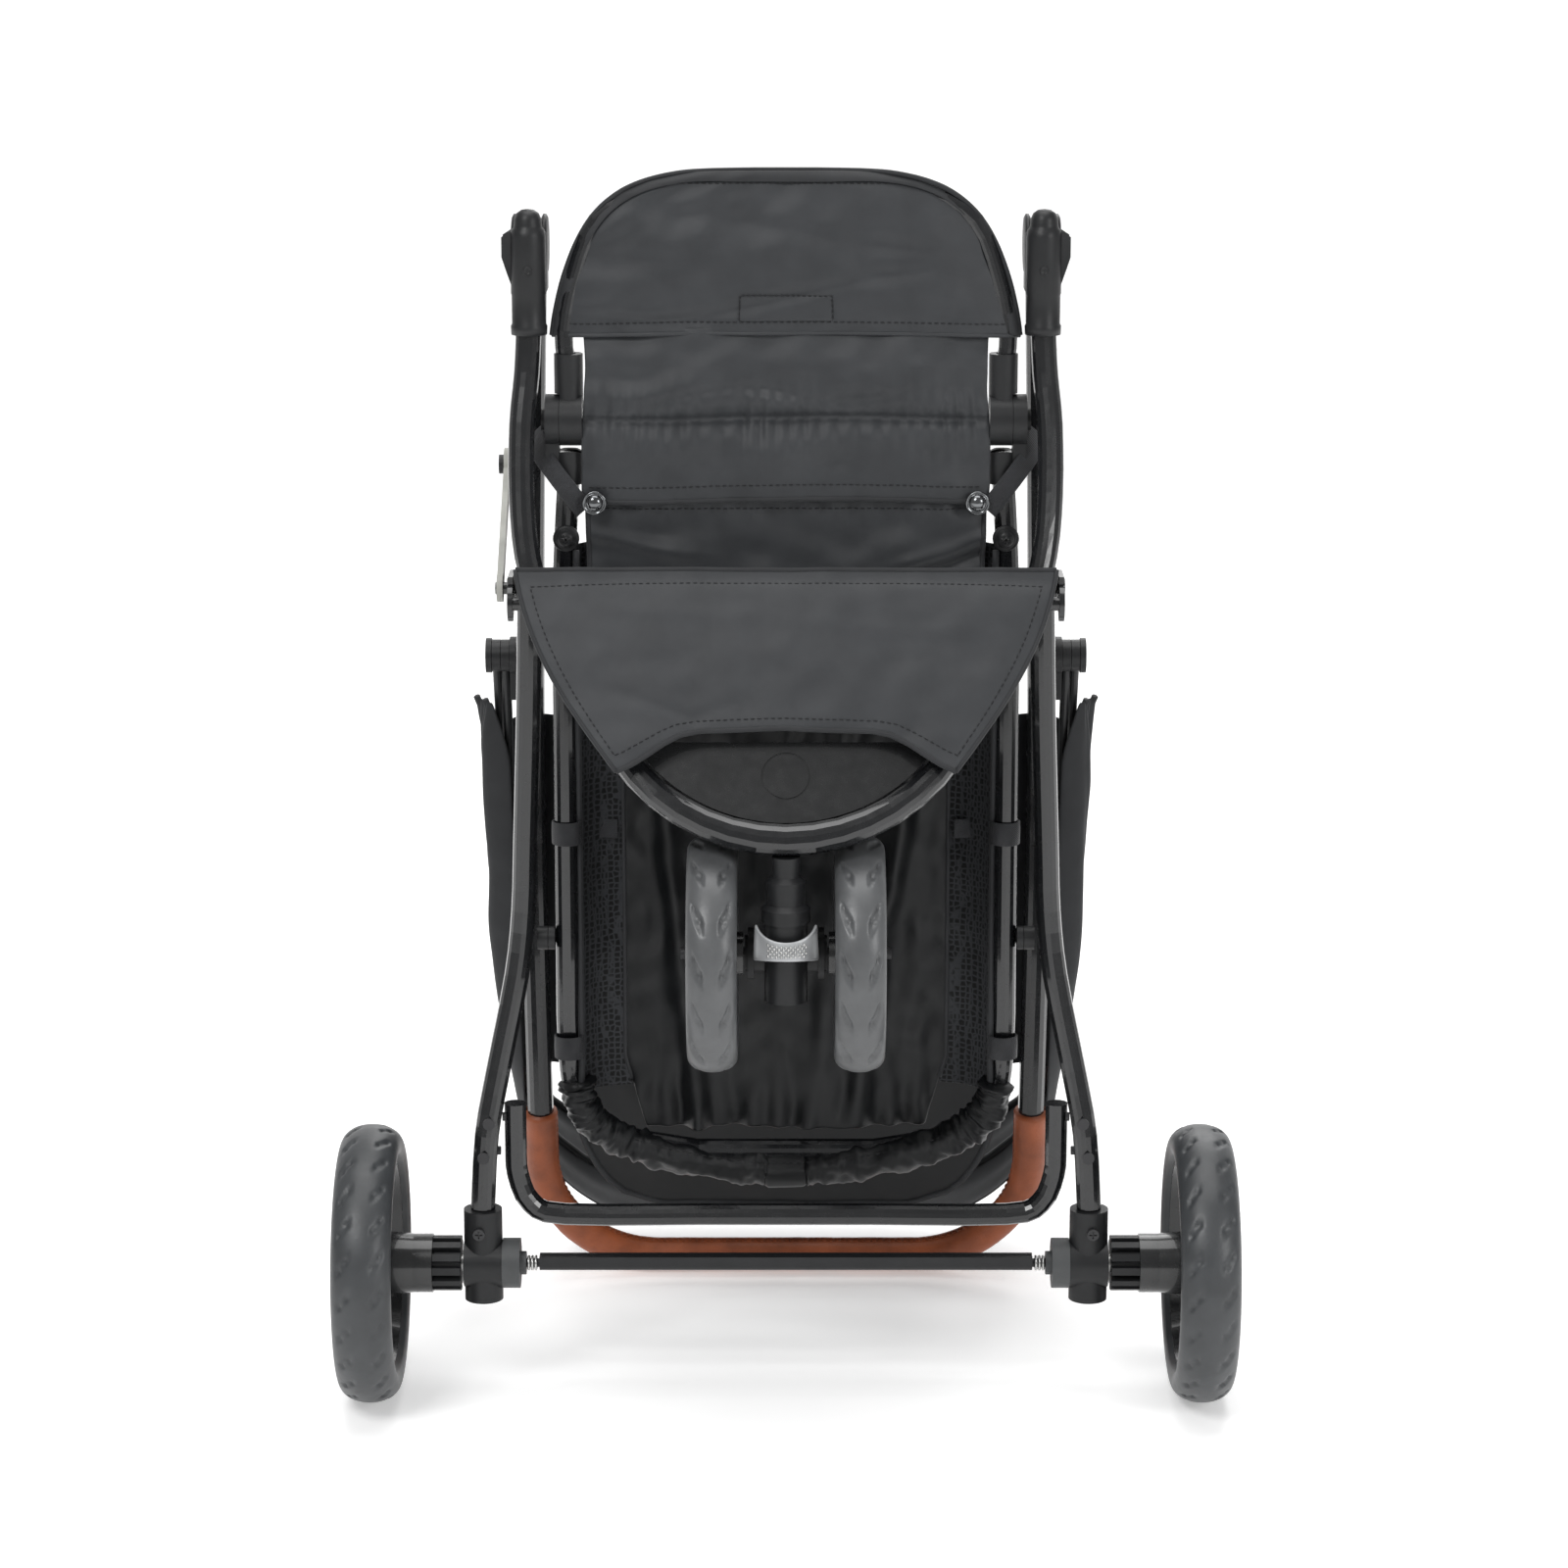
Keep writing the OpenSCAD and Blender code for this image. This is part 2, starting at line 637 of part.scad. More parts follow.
place() canopy_cloth_front();
place() cabin_loop();
place() cabin_knuckles();
place() pivot_lugs();
place() cabin_floor();
place() gathered_edge();
place() side_wall(true);  // side_wall_left
place() side_wall(false);  // side_wall_right
place() lower_panel();
place() mid_panel();
place() webbing_straps();
place() snap_buttons();
place() bow_tube();
place() bow_knuckles();
place() top_flap();
place() push_button(true);  // push_button_left
place() push_button(false);  // push_button_right
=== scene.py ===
import json
import math

import bpy
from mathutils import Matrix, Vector, noise


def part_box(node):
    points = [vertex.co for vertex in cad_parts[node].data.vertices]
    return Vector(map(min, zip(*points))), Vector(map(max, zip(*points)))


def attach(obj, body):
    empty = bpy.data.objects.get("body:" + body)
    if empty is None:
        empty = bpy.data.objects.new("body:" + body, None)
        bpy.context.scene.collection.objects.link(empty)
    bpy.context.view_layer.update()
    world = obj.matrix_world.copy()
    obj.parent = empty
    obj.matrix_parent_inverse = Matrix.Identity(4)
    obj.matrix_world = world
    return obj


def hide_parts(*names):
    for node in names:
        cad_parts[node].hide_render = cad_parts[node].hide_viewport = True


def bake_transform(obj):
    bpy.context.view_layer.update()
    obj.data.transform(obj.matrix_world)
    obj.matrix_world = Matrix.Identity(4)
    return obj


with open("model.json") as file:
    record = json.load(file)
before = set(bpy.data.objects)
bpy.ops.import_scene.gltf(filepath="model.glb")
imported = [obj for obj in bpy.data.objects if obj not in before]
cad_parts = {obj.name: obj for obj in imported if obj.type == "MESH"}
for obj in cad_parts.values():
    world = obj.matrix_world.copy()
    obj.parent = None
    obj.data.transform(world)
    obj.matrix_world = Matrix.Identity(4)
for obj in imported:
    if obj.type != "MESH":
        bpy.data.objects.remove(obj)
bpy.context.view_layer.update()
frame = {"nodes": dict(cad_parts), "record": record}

MM = 0.001
NODES = frame["nodes"]


def middle(node):
    low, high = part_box(node)
    return (low + high) / 2


# The rear axle is the zero of Y for every place below, the floor is at a height of 5, and
# places are in millimetres.
Y0 = middle("rear_axles").y
FLOOR_Z = 5
# Where the handle turns on the front frame, and the swivel axis, in the Y and Z of those places.
HANDLE_PIVOT = (66, 782)
CASTER_Y = -84


def place(x, y, z):
    return Vector((x * MM, y * MM + Y0, (z - FLOOR_Z) * MM))


def design(v):
    """Back from metres in the frame to millimetres in the places above."""
    return v.x / MM, (v.y - Y0) / MM, v.z / MM + FLOOR_Z


# ---- camera ---------------------------------------------------------------------
PITCH = 13.4
camera = bpy.data.objects.new("camera", bpy.data.cameras.new("camera"))
bpy.context.scene.collection.objects.link(camera)
camera.location = place(-1.3, -2800, 1100)
camera.rotation_euler = (math.radians(90 - PITCH), 0, 0)
camera.data.lens = 100
camera.data.sensor_width = 36
bpy.context.scene.camera = camera


# ---- materials ------------------------------------------------------------------
class Mat:
    """A node material with short calls for the parts that repeat."""

    def __init__(self, name, color, rough, metallic=0.0, **sockets):
        self.m = bpy.data.materials.new(name)
        self.m.use_nodes = True
        self.t = self.m.node_tree
        self.bsdf = self.t.nodes["Principled BSDF"]
        self.color = color
        self.bsdf.inputs["Base Color"].default_value = (*color, 1)
        self.bsdf.inputs["Roughness"].default_value = rough
        self.bsdf.inputs["Metallic"].default_value = metallic
        for key, value in sockets.items():
            self.bsdf.inputs[key.replace("_", " ")].default_value = value
        self.coord = self.t.nodes.new("ShaderNodeTexCoord").outputs["Object"]
        self.normal = None

    def link(self, a, b):
        self.t.links.new(a, b)

    def texture(self, kind, scale, stretch=None, rotate=None, **values):
        node = self.t.nodes.new("ShaderNodeTex" + kind)
        source = self.coord
        if stretch or rotate:
            mapping = self.t.nodes.new("ShaderNodeMapping")
            mapping.inputs["Scale"].default_value = stretch or (1, 1, 1)
            mapping.inputs["Rotation"].default_value = rotate or (0, 0, 0)
            self.link(source, mapping.inputs["Vector"])
            source = mapping.outputs["Vector"]
        self.link(source, node.inputs["Vector"])
        node.inputs["Scale"].default_value = scale
        for key, value in values.items():
            if key in node.inputs:
                node.inputs[key].default_value = value
            else:
                setattr(node, key, value)
        return node.outputs["Distance" if kind == "Voronoi" else "Fac"]

    def ramp(self, fac, low, high, start=0.3, end=0.7):
        node = self.t.nodes.new("ShaderNodeValToRGB")
        node.color_ramp.elements[0].position = start
        node.color_ramp.elements[1].position = end
        node.color_ramp.elements[0].color = (*low, 1)
        node.color_ramp.elements[1].color = (*high, 1)
        self.link(fac, node.inputs["Fac"])
        return node.outputs["Color"]

    def vary(self, fac, dark=0.8, light=1.2, start=0.3, end=0.7):
        low = tuple(c * dark for c in self.color)
        high = tuple(min(1, c * light) for c in self.color)
        self.link(self.ramp(fac, low, high, start, end), self.bsdf.inputs["Base Color"])
        return self

    def roughen(self, fac, low, high):
        node = self.t.nodes.new("ShaderNodeMapRange")
        node.inputs["To Min"].default_value = low
        node.inputs["To Max"].default_value = high
        self.link(fac, node.inputs["Value"])
        self.link(node.outputs["Result"], self.bsdf.inputs["Roughness"])
        return self

    def bump(self, fac, distance, strength=1.0):
        node = self.t.nodes.new("ShaderNodeBump")
        node.inputs["Distance"].default_value = distance
        node.inputs["Strength"].default_value = strength
        self.link(fac, node.inputs["Height"])
        if self.normal is not None:
            self.link(self.normal, node.inputs["Normal"])
        self.normal = node.outputs["Normal"]
        self.link(self.normal, self.bsdf.inputs["Normal"])
        return self


def cloth(name, color, rough, weave=700, crinkle=0.0007, sheen=0.05, mottle=0.12):
    m = Mat(name, color, rough, Sheen_Weight=sheen, Sheen_Roughness=0.5, Specular_IOR_Level=0.3)
    m.vary(m.texture("Noise", 45, Detail=6), 1 - mottle, 1 + mottle)
    m.roughen(m.texture("Noise", 30, Detail=4), rough - 0.06, rough + 0.08)
    m.bump(m.texture("Noise", 22, Detail=3), crinkle)
    for turn in (0.0, math.pi / 2):
        m.bump(m.texture("Wave", weave, rotate=(0, turn, 0), Distortion=0.4), 0.00005, 0.5)
    return m.m


def coated(name, color, rough, grain=900, depth=0.00003, metallic=0.0, **sockets):
    """Powder coat, moulded plastic or rubber: a fine grain, soft scuffs and a worn tone."""
    m = Mat(name, color, rough, metallic, **sockets)
    m.vary(m.texture("Noise", 60, Detail=8), 0.86, 1.16)
    m.roughen(m.texture("Noise", 140, Detail=5), rough - 0.07, rough + 0.1)
    m.bump(m.texture("Noise", grain, Detail=2), depth)
    return m.m


def leather(name, color):
    m = Mat(name, color, 0.46, Specular_IOR_Level=0.45)
    m.vary(m.texture("Noise", 55, Detail=8), 0.76, 1.22)
    m.roughen(m.texture("Noise", 90), 0.38, 0.58)
    m.bump(m.texture("Voronoi", 620), 0.00022, 0.7)
    m.bump(m.texture("Noise", 120, Detail=5), 0.0004, 0.5)
    return m.m


def mesh_cloth(name, color):
    m = Mat(name, color, 0.7, Sheen_Weight=0.04, Specular_IOR_Level=0.25)
    cells = m.texture("Voronoi", 250, feature="DISTANCE_TO_EDGE", Randomness=0.4)
    m.link(m.ramp(cells, tuple(c * 3.2 for c in color), tuple(c * 0.2 for c in color), 0.06, 0.22),
           m.bsdf.inputs["Base Color"])
    m.bump(cells, 0.0006, 0.8)
    return m.m


def webbing(name, color):
    m = Mat(name, color, 0.6, Sheen_Weight=0.05)
    m.vary(m.texture("Noise", 80, Detail=4), 0.8, 1.3)
    m.bump(m.texture("Wave", 330, rotate=(0, math.radians(40), 0)), 0.0004, 0.9)
    return m.m


FRAME_BLACK = coated("powder_coat", (0.006, 0.0065, 0.0075), 0.24, 300, 0.000004,
                     Coat_Weight=0.6, Coat_Roughness=0.06, Specular_IOR_Level=0.4)
PLASTIC = coated("black_nylon_plastic", (0.012, 0.0125, 0.0135), 0.42, 700, 0.00006,
                 Specular_IOR_Level=0.35)
GLOSS = coated("gloss_plastic", (0.013, 0.0135, 0.014), 0.24, 300, 0.000004, Coat_Weight=0.5,
               Coat_Roughness=0.05, Specular_IOR_Level=0.4)
DISC_GREY = coated("disc_grey", (0.055, 0.058, 0.06), 0.5, 600, 0.00006)
STEEL = coated("zinc_steel", (0.55, 0.55, 0.54), 0.3, 1200, 0.00002, 1.0)
REAR_RUBBER = coated("rear_rubber", (0.040, 0.043, 0.046), 0.4, 380, 0.00008)
FRONT_RUBBER = coated("front_rubber", (0.085, 0.088, 0.091), 0.34, 380, 0.00008)
TAB_SILVER = coated("tab_silver", (0.42, 0.43, 0.44), 0.36, 500, 0.00005, 0.3)
LATCH_GREY = coated("latch_grey", (0.38, 0.38, 0.35), 0.5, 500, 0.00006)
TAN = leather("tan_leather", (0.27, 0.068, 0.022))
CHARCOAL = cloth("charcoal_cloth", (0.031, 0.033, 0.036), 0.42, 700, 0.0011)
CANOPY_CLOTH = cloth("canopy_cloth", (0.019, 0.020, 0.022), 0.66, 520, 0.0012, 0.1)
NYLON = cloth("black_nylon", (0.0055, 0.006, 0.0067), 0.3, 1100, 0.0014, 0.0)
SNAP = coated("snap_chrome", (0.16, 0.165, 0.17), 0.14, 400, 0.000004, 1.0)
BOLT = coated("bolt_black", (0.03, 0.03, 0.032), 0.45, 700, 0.00001, 0.3)
BINDING = cloth("binding_tape", (0.021, 0.022, 0.024), 0.62, 420, 0.0004, 0.08)
THREAD = cloth("thread", (0.012, 0.0125, 0.014), 0.6, 1500, 0.0002)
MESH = mesh_cloth("honeycomb_mesh", (0.009, 0.0095, 0.0105))
WEBBING = webbing("webbing", (0.020, 0.021, 0.024))


# ---- mesh helpers -----------------------------------------------------------------
def add(name, points, faces, material):
    """A mesh object from design points in millimetres."""
    mesh = bpy.data.meshes.new(name)
    mesh.from_pydata([place(*p) for p in points], [], faces)
    mesh.validate()
    mesh.materials.append(material)
    for polygon in mesh.polygons:
        polygon.use_smooth = True
    obj = bpy.data.objects.new(name, mesh)
    bpy.context.scene.collection.objects.link(obj)
    return obj


def bake(obj, *modifiers):
    """Adds modifiers, as (type, settings), and applies them all to the mesh."""
    for kind, settings in modifiers:
        modifier = obj.modifiers.new(kind, kind)
        for key, value in settings.items():
            setattr(modifier, key, value)
    bpy.context.view_layer.update()
    shown = obj.evaluated_get(bpy.context.evaluated_depsgraph_get())
    mesh = bpy.data.meshes.new_from_object(shown)
    obj.modifiers.clear()
    obj.data = mesh
    return obj


def cloth_sheet(name, shape, nu, nv, material, thick=1.2, soften=1):
    """A sheet whose point at u, v (0 to 1) is shape(u, v), with a real thickness."""
    points = [shape(i / nu, j / nv) for j in range(nv + 1) for i in range(nu + 1)]
    row = nu + 1
    faces = [(j * row + i, j * row + i + 1, (j + 1) * row + i + 1, (j + 1) * row + i)
             for j in range(nv) for i in range(nu)]
    obj = add(name, points, faces, material)
    return bake(obj, ("SOLIDIFY", {"thickness": thick * MM, "offset": 0}),
                ("SUBSURF", {"levels": soften, "render_levels": soften}))


def frame_at(path, i, ref):
    ahead = Vector(path[min(i + 1, len(path) - 1)]) - Vector(path[max(i - 1, 0)])
    ahead.normalize()
    side = ahead.cross(ref)
    side.normalize()
    return ahead, side, ahead.cross(side)


def tube(name, path, radius, material, ref=(0, 1, 0), sides=12):
    """A closed tube along a path; radius is a number or a function of t, the angle in turns."""
    points, n = [], len(path)
    for i in range(n):
        _, u, v = frame_at(path, i, Vector(ref))
        for k in range(sides):
            a = math.tau * k / sides
            r = radius(i / (n - 1), k / sides) if callable(radius) else radius
            points.append(tuple(Vector(path[i]) + r * (math.cos(a) * u + math.sin(a) * v)))
    faces = [(i * sides + k, i * sides + (k + 1) % sides, (i + 1) * sides + (k + 1) % sides,
              (i + 1) * sides + k) for i in range(n - 1) for k in range(sides)]
    faces += [tuple(range(sides))[::-1], tuple((n - 1) * sides + k for k in range(sides))]
    return add(name, points, faces, material)


def ribbon(name, path, across, width, material, thick=1.6):
    """A flat strap along a path; across is its width direction."""
    half = Vector(across).normalized() * width / 2
    rows = [tuple(Vector(p) + half * s) for p in path for s in (-1, -0.5, 0, 0.5, 1)]
    faces = [(j * 5 + i, j * 5 + i + 1, j * 5 + i + 6, j * 5 + i + 5)
             for j in range(len(path) - 1) for i in range(4)]
    obj = add(name, rows, faces, material)
    return bake(obj, ("SOLIDIFY", {"thickness": thick * MM, "offset": 0}),
                ("BEVEL", {"width": 0.3 * MM, "segments": 2}))


def lathe(name, outline, centre, axis, material, steps=48):
    """An outline of (radius, along) turned round an axis, "x", "y" or "z", at a centre."""
    points = []
    for k in range(steps):
        a = math.tau * k / steps
        for r, along in outline:
            c, s = r * math.cos(a), r * math.sin(a)
            offset = {"x": (along, c, s), "y": (c, along, s), "z": (c, s, along)}[axis]
            points.append(tuple(Vector(centre) + Vector(offset)))
    m = len(outline)
    faces = [(k * m + j, k * m + j + 1, ((k + 1) % steps) * m + j + 1, ((k + 1) % steps) * m + j)
             for k in range(steps) for j in range(m - 1)]
    return add(name, points, faces, material)


def smooth_path(points, steps=6):
    """A Catmull-Rom curve through a few points."""
    pts = [Vector(p) for p in points]
    out = []
    for i in range(len(pts) - 1):
        a, b = pts[max(i - 1, 0)], pts[i]
        c, d = pts[i + 1], pts[min(i + 2, len(pts) - 1)]
        for j in range(steps):
            t = j / steps
            out.append(0.5 * (2 * b + (c - a) * t + (2 * a - 5 * b + 4 * c - d) * t * t
                              + (3 * b - a - 3 * c + d) * t ** 3))
    out.append(pts[-1])
    return [tuple(p) for p in out]


def both_ways(half):
    return list(half) + [(-p[0], p[1], p[2]) for p in reversed(half)]


def along(path, gap):
    """Points at even gaps along a path, each with its direction."""
    made, carry = [], gap / 2
    for a, b in zip(path, path[1:]):
        a, b = Vector(a), Vector(b)
        length = (b - a).length
        if length < 1e-6:
            continue
        while carry <= length:
            made.append((a + (b - a) * carry / length, (b - a).normalized()))
            carry += gap
        carry -= length
    return made


def stitches(name, path, lift=(0, -0.5, 0), gap=4.4, long=2.8, r=0.42, body=None):
    """A row of thread stitches, one mesh."""
    sides = 6
    points, faces = [], []
    for centre, way in along(path, gap):
        side = way.cross(Vector((0, 1, 0)))
        side = side.normalized() if side.length > 1e-3 else Vector((1, 0, 0))
        up = way.cross(side)
        base = len(points)
        for step, fat in ((-0.5, 0.35), (-0.3, 1), (0.3, 1), (0.5, 0.35)):
            for k in range(sides):
                a = math.tau * k / sides
                offset = r * fat * (math.cos(a) * side + math.sin(a) * up)
                points.append(tuple(centre + Vector(lift) + way * long * step + offset))
        for j in range(3):
            for k in range(sides):
                n = (k + 1) % sides
                faces.append((base + j * sides + k, base + j * sides + n,
                              base + (j + 1) * sides + n, base + (j + 1) * sides + k))
        faces.append(tuple(base + k for k in range(sides))[::-1])
        faces.append(tuple(base + 3 * sides + k for k in range(sides)))
    obj = add(name, points, faces, THREAD)
    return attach(obj, body) if body else obj


def ripple(x, z, seed, size):
    return noise.noise(Vector((x / size, z / size, seed)))


def bell(x, width):
    return math.exp(-(x / width) ** 2)


def between(table, x):
    """Straight-line reading of a short table of (x, y)."""
    for (x0, y0), (x1, y1) in zip(table, table[1:]):
        if x <= x1:
            return y0 + (y1 - y0) * max(0.0, min(1.0, (x - x0) / (x1 - x0)))
    return table[-1][1]


# ---- CAD parts that stay: better materials and smooth shading ------------------------
def finish_nodes():
    looks = {
        "frame_black": FRAME_BLACK, "black_plastic": PLASTIC, "gloss_plastic": GLOSS,
        "steel": STEEL, "rear_tyre": REAR_RUBBER, "front_tyre": FRONT_RUBBER,
        "tab_silver": TAB_SILVER, "tan_leather": TAN, "charcoal_cloth": CHARCOAL,
        "black_nylon": NYLON, "webbing": WEBBING, "latch_grey": LATCH_GREY,
    }
    own_looks = {"brake_discs": DISC_GREY, "bracket_screws": BOLT, "leg_rivets": BOLT,
                 "front_axle": BOLT}
    for row in frame["record"]["subparts"]:
        obj = NODES[row["node"]]
        material = own_looks.get(row["node"], looks[row["material_slot"]])
        obj.data.materials.clear()
        obj.data.materials.append(material)
        for polygon in obj.data.polygons:
            polygon.use_smooth = True
        obj.data.set_sharp_from_angle(angle=math.radians(35))


# ---- wheels ----------------------------------------------------------------------
def grooved_tyre(name, node, grooves, slant, chevron, depth_mm, material, slot, body):
    """A foam tyre with slanted or chevron grooves pressed into both shoulders."""
    low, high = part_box(node)
    centre = design((low + high) / 2)
    outer = (high.z - low.z) / 2 / MM
    width = (high.x - low.x) / MM
    inner = outer - (22 if slot == "rear_tyre" else 17)
    across, around = 49, 384
    points = []
    for k in range(around):
        turn = k / around
        for j in range(across):
            t = j / (across - 1) * 2 - 1
            a = t * math.radians(118)
            half, rise = width / 2, (outer - inner) * 0.62
            core = outer - rise
            x = half * math.copysign(abs(math.sin(a)) ** 0.95, a)
            r = core + rise * math.copysign(abs(math.cos(a)) ** 0.95, math.cos(a))
            r = max(inner, r)
            lean = abs(t) if chevron else t
            phase = math.sin(math.tau * (turn * grooves + lean * slant))
            second = math.sin(math.tau * (turn * grooves * 2 - lean * slant * 1.5 + 0.3))
            # Each groove has a flat floor, steep ends, and lies between crown and side wall.
            shoulder = max(0.0, min(1.0, 3.2 * (1 - abs(abs(t) - 0.29) / 0.15)))
            cut = depth_mm * shoulder * max(0.0, min(1.0, (phase - 0.5) * 4))
            cut *= 0.6 + 0.4 * max(0.0, second)
            r -= cut
            x -= math.copysign(cut * 0.7, x)
            angle = math.tau * turn
            points.append((centre[0] + x, centre[1] + r * math.cos(angle),
                           centre[2] + r * math.sin(angle)))
    faces = []
    for k in range(around):
        n = (k + 1) % around
        for j in range(across):
            m = (j + 1) % across
            faces.append((k * across + j, n * across + j, n * across + m, k * across + m))
    tyre = add(name, points, faces, material)
    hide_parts(node)
    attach(tyre, body)


def hub_cap(name, node, outward, radius, body):
    """The domed cap on the outer end of a hub, with a ring and a recess."""
    low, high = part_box(node)
    _, cy, cz = design((low + high) / 2)
    face = (low.x if outward < 0 else high.x) / MM
    outline = [(0.01, 1.6), (radius * 0.3, 1.9), (radius * 0.55, 1.2), (radius * 0.6, 0.5),
               (radius * 0.72, 0.5), (radius * 0.8, 1.3), (radius, 0.6), (radius, -6)]
    outline = [(r, d * outward) for r, d in outline]
    cap = lathe(name, outline, (face - outward, cy, cz), "x", GLOSS, 64)
    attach(cap, body)


def make_wheels():
    for side in ("left", "right"):
        grooved_tyre("rear_foam_" + side, "rear_tyre_" + side, 24, 1.9, False, 1.3, REAR_RUBBER,
                     "rear_tyre", "rear_wheel_" + side)
        grooved_tyre("front_foam_" + side, "front_tyre_" + side, 14, 1.8, True, 2.3,
                     FRONT_RUBBER, "front_tyre", "front_wheel_" + side)
        outward = -1 if side == "left" else 1
        hub_cap("rear_cap_" + side, "rear_rim_" + side, outward, 17, "rear_wheel_" + side)


# ---- cloth -------------------------------------------------------------------------
FLAP_EDGE = [(724, 153.5), (740, 151), (762, 145.5), (785, 136.5), (803, 125), (816, 110),
             (824, 93), (829, 72), (831, 60)]
FLAP_LOW, FLAP_HIGH = FLAP_EDGE[0][0], FLAP_EDGE[-1][0]


def flap_point(u, v):
    """The top flap is stretched over the bow and rolls back over its tube at the edge."""
    z = FLAP_LOW + (FLAP_HIGH - FLAP_LOW) * v
    t = 2 * u - 1
    half = between(FLAP_EDGE, z)
    y = 42 + 8 * v
    y -= 2.6 * (1 - t * t) * math.sin(math.pi * min(1, v * 1.15))
    y += 8.5 * abs(t) ** 10 + 7 * v ** 14
    y += 3.2 * ripple(t * 150, z * 1.5, 3.1, 60) + 1.5 * ripple(t * 150, z * 1.6, 5.1, 24)
    crease = z - 748 - 16 * t - 9 * math.sin(2.2 * t)
    y += 2.6 * bell(crease, 5) * (1 - abs(t)) + 1.8 * bell(z - 792 + 20 * t, 7)
    y += 2.2 * bell(z - 738 + 12 * (t + 1), 4) * bell(t + 0.62, 0.3)
    hem = 2.4 * (1 - t * t)
    return half * t, y, z + hem * (1 - v)


def make_top_flap():
    flap = cloth_sheet("flap_cloth", flap_point, 100, 44, CHARCOAL)
    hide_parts("top_flap")
    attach(flap, "bow")
    side = [(-between(FLAP_EDGE, z) - 0.3, 50 + 6 * (z - 724) / 107, z)
            for z in (724, 740, 762, 785, 803, 816, 824, 829)]
    top = [(-52, 57.8, 830.6), (-20, 58, 831.2)]
    edge = both_ways(smooth_path(side + top))
    piping = tube("flap_piping", edge, 1.7, BINDING, (0, 1, 0), 12)
    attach(piping, "bow")

    def band_point(u, v):
        x, y, z = edge[round(u * (len(edge) - 1))]
        inward = Vector((-x, 0, 752 - z)).normalized() * 7.5 * v
        q = Vector((x, y, z)) + inward
        w = max(0.0, min(1.0, (q.z - FLAP_LOW) / (FLAP_HIGH - FLAP_LOW)))
        near = flap_point((max(-1, min(1, q.x / between(FLAP_EDGE, q.z))) + 1) / 2, w)
        return q.x, near[1] - 2.2 - 0.9 * math.sin(math.pi * v), q.z
    band = cloth_sheet("flap_binding", band_point, len(edge) - 1, 5, BINDING, 0.8)
    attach(band, "bow")
    inner = []
    for x, _, z in edge:
        zz = min(z, 826) - 2
        v = (zz - FLAP_LOW) / (FLAP_HIGH - FLAP_LOW)
        xx = max(-1, min(1, x / between(FLAP_EDGE, zz))) * 0.955
        inner.append(flap_point((xx + 1) / 2, max(0.0, v - 0.01)))
    stitches("flap_edge_stitch", inner, (0, -0.9, 0), body="bow")
    hem = [flap_point(i / 40, 0.07) for i in range(1, 40)]
    stitches("flap_hem_stitch", hem, (0, -0.9, 0), body="bow")
    left, right = 0.5 - 31 / 306, 0.5 + 31 / 306
    low, high = 0.075, 0.235
    box_path = ([flap_point(left + (right - left) * i / 12, high) for i in range(13)]
                + [flap_point(right, high - (high - low) * i / 5) for i in range(6)])
    start = [flap_point(left, low + (high - low) * i / 5) for i in range(6)]
    patch = cloth_sheet("flap_patch", lambda u, v: tuple(
        Vector(flap_point(left + (right - left) * u, low + (high - low) * v))
        + Vector((0, -1.1, 0))), 16, 6, CHARCOAL, 0.6)
    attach(patch, "bow")
    stitches("flap_patch_stitch", start + box_path, (0, -1.9, 0), 3.6, 2.4, body="bow")
    roll = tube("flap_hem_roll", [flap_point(i / 48, 0.0) for i in range(49)], 1.5, CHARCOAL,
                (0, 1, 0))
    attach(roll, "bow")


MID_LOW, MID_RISE, MID_SEAM = 617, 113, 670


def mid_point(u, v):
    """Two sewn bands of cloth, puffed between the seam and the hems."""
    z = MID_LOW + MID_RISE * v
    t = 2 * u - 1
    half = 133.5 + 1.5 * math.sin(6 * v) + 1.2 * ripple(t * 40, z, 8.3, 18)
    y = 37 + 12 * max(0.0, (v - 0.55) / 0.45) ** 1.4
    seam = z - MID_SEAM
    y -= 4.2 * (1 - bell(seam, 9)) * (1 - t ** 6)
    gather = bell(seam, 20)
    deep = 0.4 + abs(ripple(t * 90, 1, 2, 30))
    y += 2.4 * gather * math.sin(t * 74 + 2 * math.sin(t * 9)) * deep
    y += 4.6 * ripple(t * 130, z * 2.2, 1.7, 52) + 1.8 * ripple(t * 130, z * 1.4, 4.4, 18)
    y += 3.6 * bell(seam, 2.4) + 2.2 * bell(z - 686 + 5 * math.sin(t * 6), 3.2) * (1 - t * t)
    return half * t, y, z + 1.2 * math.sin(t * 3 + 1)


def make_mid_panel():
    panel = cloth_sheet("mid_cloth", mid_point, 110, 44, CHARCOAL)
    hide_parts("mid_panel")
    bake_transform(panel)
    seam_v = (MID_SEAM + 0.5 - MID_LOW) / MID_RISE
    seam = [tuple(Vector(mid_point(i / 60, seam_v)) + Vector((0, -0.7, 0)))
            for i in range(1, 60)]
    stitches("mid_seam_stitch", seam, (0, -0.4, 1.4), 4.2, 2.6, body="cabin")
    hem = [mid_point(i / 60, 0.0) for i in range(61)]
    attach(tube("mid_hem_roll", hem, 1.9, BINDING), "cabin")
    stitches("mid_hem_stitch", [mid_point(i / 60, 0.085) for i in range(1, 60)], (0, -0.9, 0),
             body="cabin")


